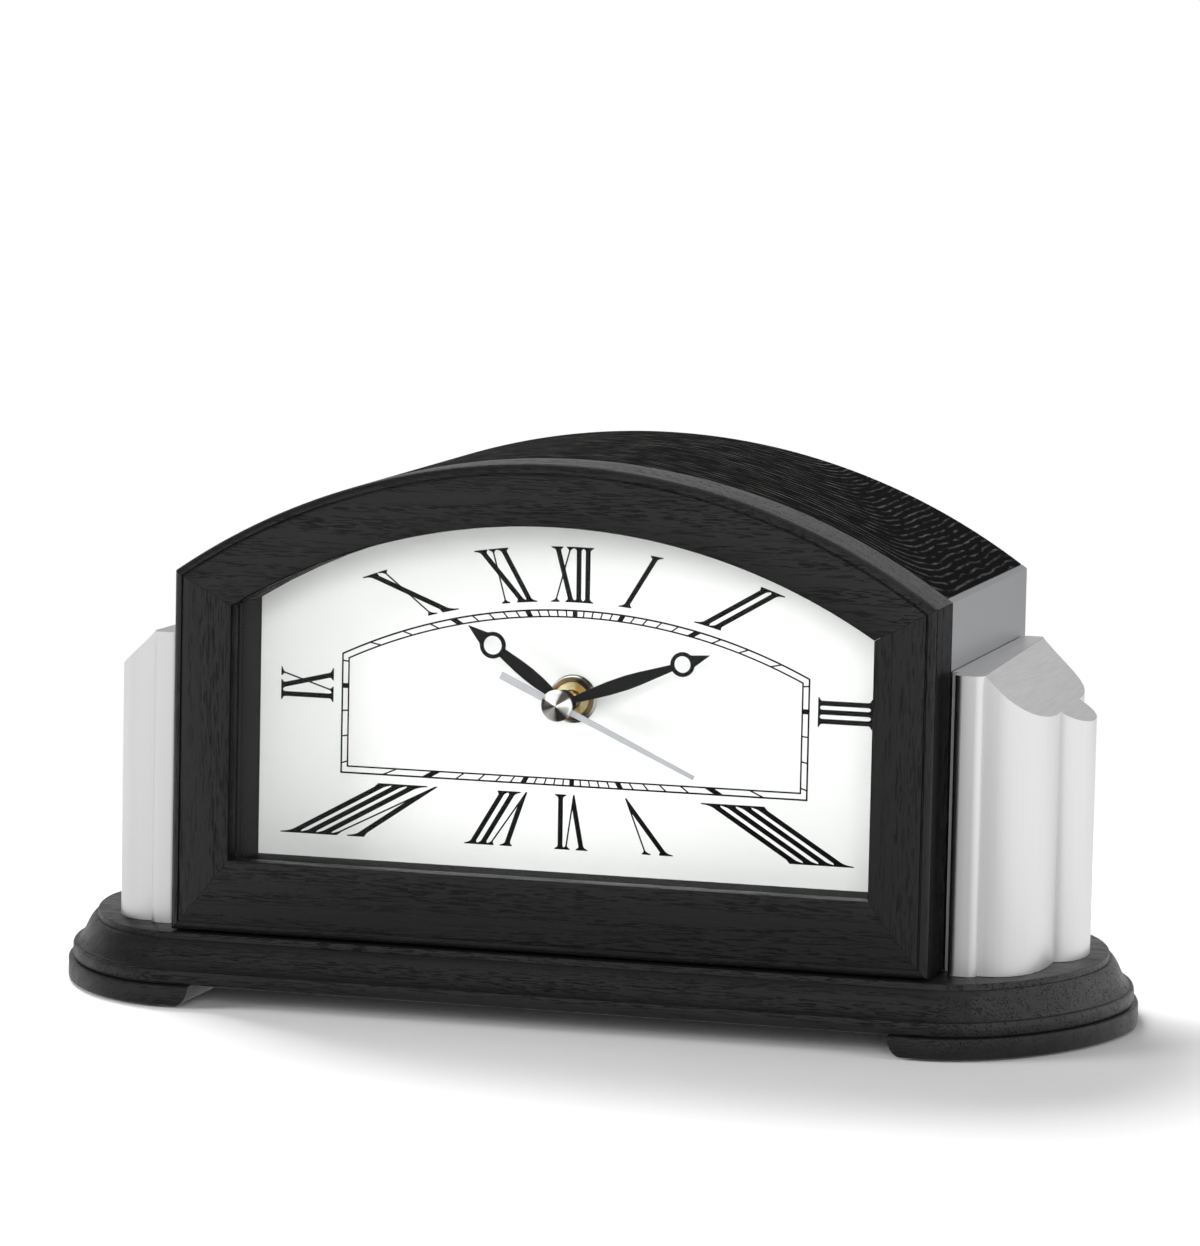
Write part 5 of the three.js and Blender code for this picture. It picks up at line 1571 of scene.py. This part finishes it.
@dataclass
class Rear:
    """The rear panel with its door, hinge, pull, buttons, port and screws, and the electronics behind it."""

    rear: float = 56.0
    screw_x: float = 101.4
    screw_levels: tuple[float, ...] = (32.0, 70.0, 108.0)
    screw_gap: float = 0.02
    cross_arm: float = 1.5
    cross_half: float = 0.28
    cross_floor: float = 0.3
    cross_top: float = 2.0
    first_turn: float = 17.0
    next_turn: float = 53.0

    def screw(self) -> Piece:
        """Models one pan-head screw with a cross recess, its seat on the panel at the origin."""
        head = [(0.0, 0.95), (1.4, 0.9), (2.2, 0.72), (2.7, 0.42), (2.9, 0.12), (2.88, 0.0)]
        shank = [(1.45, 0.0), (1.4, -2.5), (0.0, -2.5)]
        screw = turned("panel_screw", head + shank, (0.0, self.rear + self.screw_gap, 0.0), 28)
        for x, z in ((self.cross_arm, self.cross_half), (self.cross_half, self.cross_arm)):
            outline = [(-x, -z), (x, -z), (x, z), (-x, z)]
            arm = prism("recess_arm", outline, self.rear + self.cross_floor, self.rear + self.cross_top)
            boolean(screw, arm, "DIFFERENCE")
        soften(screw, 0.0, angle=35.0)
        dress(screw, SPRING_STEEL)
        return screw

    def build_screws(self) -> None:
        """Copies the screw to each of its places, turned a little each time."""
        model = self.screw()
        count = 0
        for side in (-1, 1):
            for level in self.screw_levels:
                count += 1
                copy = bpy.data.objects.new(f"panel_screw_{count}", model.data.copy())
                bpy.context.scene.collection.objects.link(copy)
                turn = Matrix.Rotation(math.radians(self.first_turn + self.next_turn * count), 4, "Y")
                place = Matrix.Translation(Vector((side * self.screw_x, 0.0, level)) * MM)
                copy.data.transform(place @ turn)
                settle(copy, "case", "steel")
        bpy.data.objects.remove(model)

    def build(self) -> None:
        """Refines all that shows at the back and dresses what is inside."""
        refine("rear_panel", PANEL_BLACK, "black_plastic", 0.0, 3.0, join=False)
        refine("rear_door", PANEL_BLACK, "black_plastic", 0.4)
        refine("hinge_leaf_fixed", HINGE_BRASS, "brass", 0.12)
        refine("hinge_leaf_door", HINGE_BRASS, "brass", 0.12)
        refine("hinge_pin", SPRING_STEEL, "steel", 0.1)
        refine("door_pull", HINGE_BRASS, "brass", 0.15)
        for name in ("power", "pairing", "volume_down", "volume_up"):
            refine(f"{name}_button", SMOOTH_BLACK, "black_plastic", 0.35)
        refine("charging_port", SPRING_STEEL, "steel", 0.1)
        dress(frame["nodes"]["amplifier_board"], SOLDER_MASK)
        dress(frame["nodes"]["rechargeable_pack"], CELL_SLEEVE)
        self.build_screws()


# Studio


@dataclass
class Studio:
    """The pale floor, the soft lamps, the card, the pale surroundings and the camera."""

    world_fill: float = 0.14
    left_tones: tuple = ((-1.1, 0.15), (-0.88, 0.7), (0.1, 1.0))
    left_slant: float = -0.8
    ceiling_start: float = 0.15
    ceiling_full: float = 0.9
    ceiling_tone: float = 0.85
    floor: str = "#f4f4f4"
    floor_size: float = 12.0
    shade_end: float = 0.22
    white_start: float = 0.42
    # Painted shade in gloss: the floor's tones along Y and along X, dark near and under the clock.
    painted_shade_gloss_ramps: tuple = (
        ("Y", ((-1.2, 1.0), (-0.7, 0.9), (-0.4, 0.15), (-0.24, 0.4), (-0.05, 0.4), (0.08, 0.9))),
        ("X", ((-0.5, 1.0), (-0.15, 0.75), (-0.03, 0.0), (0.12, 0.0), (0.3, 0.95))),
    )
    lens: float = 195.07
    sensor: float = 36.0
    yaw: float = -0.2740
    pitch: float = 0.1181
    roll: float = 0.0209
    shift: tuple[float, float, float] = (-16.3073, 111.2505, 1850.2077)
    frame_front: float = -57.0
    aim: tuple[float, float, float] = (0.0, 0.0, 0.07)
    lamps: tuple = (
        ("left_softbox", (-1.75, -1.05, 0.7), (1.0, 0.8), 34.0),
        ("right_softbox", (1.7, -0.5, 0.45), (0.9, 0.8), 13.0),
        ("front_softbox", (0.45, -2.3, 0.75), (1.4, 0.8), 31.0),
        ("rear_softbox", (-0.7, 0.75, 1.3), (0.8, 0.6), 32.0),
    )
    card: tuple = ((-1.0, 0.5, 0.02), (0.4, 0.5, 0.02), (-1.0, 0.5, 0.6), (0.4, 0.5, 0.6))
    card_tone: float = 0.58

    def build_camera(self) -> None:
        """Sets the camera from the fitted turn and place."""
        cy, sy = math.cos(self.yaw), math.sin(self.yaw)
        cp, sp = math.cos(self.pitch), math.sin(self.pitch)
        cr, sr = math.cos(self.roll), math.sin(self.roll)
        turn_z = Matrix(((cy, -sy, 0), (sy, cy, 0), (0, 0, 1)))
        base = Matrix(((1, 0, 0), (0, 0, -1), (0, 1, 0)))
        turn_x = Matrix(((1, 0, 0), (0, cp, -sp), (0, sp, cp)))
        turn_r = Matrix(((cr, -sr, 0), (sr, cr, 0), (0, 0, 1)))
        view = turn_r @ turn_x @ base @ turn_z
        place = -(view.transposed() @ Vector(self.shift)) + Vector((0, self.frame_front, 0))
        facing = view.transposed() @ Matrix(((1, 0, 0), (0, -1, 0), (0, 0, -1)))
        data = bpy.data.cameras.new("photograph_view")
        data.lens = self.lens
        data.sensor_width = self.sensor
        data.sensor_fit = "AUTO"
        data.clip_start = 0.1
        data.clip_end = 100.0
        camera = bpy.data.objects.new("photograph_view", data)
        camera.matrix_world = Matrix.Translation(place * MM) @ facing.to_4x4()
        bpy.context.scene.collection.objects.link(camera)
        bpy.context.scene.camera = camera

    def build_lamp(
        self, name: str, place: tuple[float, ...], size: tuple[float, float], power: float
    ) -> None:
        """Hangs one soft lamp that faces the clock and that gloss and metal don't show.

        Args:
            name: the lamp's name.
            place: where it hangs, in metres.
            size: its width and height in metres.
            power: its power in watts.
        """
        data = bpy.data.lights.new(name, "AREA")
        data.shape = "RECTANGLE"
        data.size, data.size_y = size
        data.energy = power
        lamp = bpy.data.objects.new(name, data)
        lamp.location = place
        way = Vector(self.aim) - Vector(place)
        lamp.rotation_euler = way.to_track_quat("-Z", "Y").to_euler()
        lamp.visible_camera = False
        lamp.visible_glossy = False
        bpy.context.scene.collection.objects.link(lamp)

    def build_card(self, name: str, corners: tuple, tone: float) -> None:
        """Stands a card that only reflections see, to shape the metal.

        Args:
            name: the card's name.
            corners: its four corners in metres.
            tone: how bright it looks in a reflection.
        """
        bpy.ops.object.select_all(action="DESELECT")
        bpy.ops.mesh.primitive_plane_add(size=1.0)
        card = bpy.context.active_object
        card.name = name
        for corner, place in zip(card.data.vertices, corners):
            corner.co = place
        material = bare_material(name)
        tree = material.node_tree
        glow = add_node(tree, "Emission", inputs={"Color": (tone, tone, tone, 1.0), "Strength": 1.0})
        add_node(tree, "OutputMaterial", inputs={"Surface": glow})
        card.data.materials.append(material)
        card.visible_camera = False
        card.visible_diffuse = False
        card.visible_shadow = False
        card.visible_transmission = False

    def build_floor(self) -> None:
        """Lays the pale floor, which shows its shading near the clock and is plain white far off.

        Gloss sees painted shade on it: dark near and under the clock, where its shadow and reflection fall, and
        white further off.
        """
        bpy.ops.object.select_all(action="DESELECT")
        bpy.ops.mesh.primitive_plane_add(size=self.floor_size)
        floor = bpy.context.active_object
        floor.name = "studio_floor"
        material = bare_material("painted_studio_floor")
        tree = material.node_tree
        inputs = {"Base Color": linear(self.floor), "Roughness": 0.9, "Specular IOR Level": 0.1}
        paint = add_node(tree, "BsdfPrincipled", inputs=inputs)
        white = add_node(tree, "Emission", inputs={"Color": WHITE, "Strength": 1.0})
        ray = add_node(tree, "LightPath").outputs
        place = add_node(tree, "TexCoord").outputs["Object"]
        away = add_node(tree, "VectorMath", {"operation": "LENGTH"}, {0: place}).outputs["Value"]
        limits = {"Value": away, "From Min": self.shade_end, "From Max": self.white_start}
        far = add_node(tree, "MapRange", inputs=limits)
        seen = add_node(tree, "Math", {"operation": "MULTIPLY"}, {0: far, 1: ray["Is Camera Ray"]})
        mixed = add_node(tree, "MixShader", inputs={0: seen, 1: paint, 2: white})
        split = add_node(tree, "SeparateXYZ", inputs={0: place}).outputs
        # Painted shade seen only in gloss: the floor glows dark near and under the clock, where its shadow and
        # reflection fall.
        tones = [graded(tree, split[axis], ramp) for axis, ramp in self.painted_shade_gloss_ramps]
        tone = add_node(tree, "Math", {"operation": "MAXIMUM"}, {0: tones[0], 1: tones[1]})
        painted_shade_in_gloss = add_node(tree, "Emission", inputs={"Color": WHITE, "Strength": tone})
        reflected = add_node(tree, "MixShader", inputs={0: ray["Is Glossy Ray"], 1: mixed, 2: painted_shade_in_gloss})
        add_node(tree, "OutputMaterial", inputs={"Surface": reflected})
        floor.data.materials.append(material)

    def build_world(self) -> None:
        """Makes the surroundings white to the camera and in glass, toned in gloss, and a soft fill besides."""
        world = bpy.data.worlds.new("pale_surroundings")
        bpy.context.scene.world = world
        world.use_nodes = True
        tree = world.node_tree
        tree.nodes.clear()
        ray = add_node(tree, "LightPath").outputs
        direct = {0: ray["Is Camera Ray"], 1: ray["Is Glossy Ray"]}
        seen = add_node(tree, "Math", {"operation": "MAXIMUM"}, direct)
        shown = add_node(tree, "Math", {"operation": "MAXIMUM"}, {0: seen, 1: ray["Is Transmission Ray"]})
        place = add_node(tree, "TexCoord").outputs["Generated"]
        side = add_node(tree, "SeparateXYZ", inputs={0: place}).outputs
        lean = {0: side["Z"], 1: self.left_slant, 2: side["X"]}
        slant = add_node(tree, "Math", {"operation": "MULTIPLY_ADD"}, lean)
        limits = {"From Min": self.ceiling_start, "From Max": self.ceiling_full, "To Min": 1.0}
        limits |= {"Value": side["Z"], "To Max": self.ceiling_tone}
        both = {0: graded(tree, slant, self.left_tones), 1: add_node(tree, "MapRange", inputs=limits)}
        toned = add_node(tree, "Math", {"operation": "MULTIPLY"}, both)
        gloss = add_node(tree, "Mix", {"data_type": "FLOAT"}, {0: ray["Is Glossy Ray"], 2: 1.0, 3: toned})
        strength = add_node(tree, "Mix", {"data_type": "FLOAT"}, {0: shown, 2: self.world_fill, 3: gloss})
        sky = add_node(tree, "Background", inputs={"Color": WHITE, "Strength": strength})
        add_node(tree, "OutputWorld", inputs={"Surface": sky})

    def build(self) -> None:
        """Builds the floor, the surroundings, the lamps, the card and the camera."""
        bpy.context.scene.view_settings.view_transform = "Standard"
        self.build_floor()
        self.build_world()
        for lamp in self.lamps:
            self.build_lamp(*lamp)
        self.build_card("rear_card", self.card, self.card_tone)
        self.build_camera()


def main() -> None:
    """Builds the clock's sub-assemblies and the studio in order."""
    logging.basicConfig(level=logging.INFO, format="%(message)s")
    Base().build()
    Frame().build()
    Case().build()
    for side in (-1, 1):
        Column().build(side)
    Dial().build()
    Hands().build()
    Movement().build()
    Speakers().build()
    Rear().build()
    Studio().build()


if __name__ == "__main__":
    main()
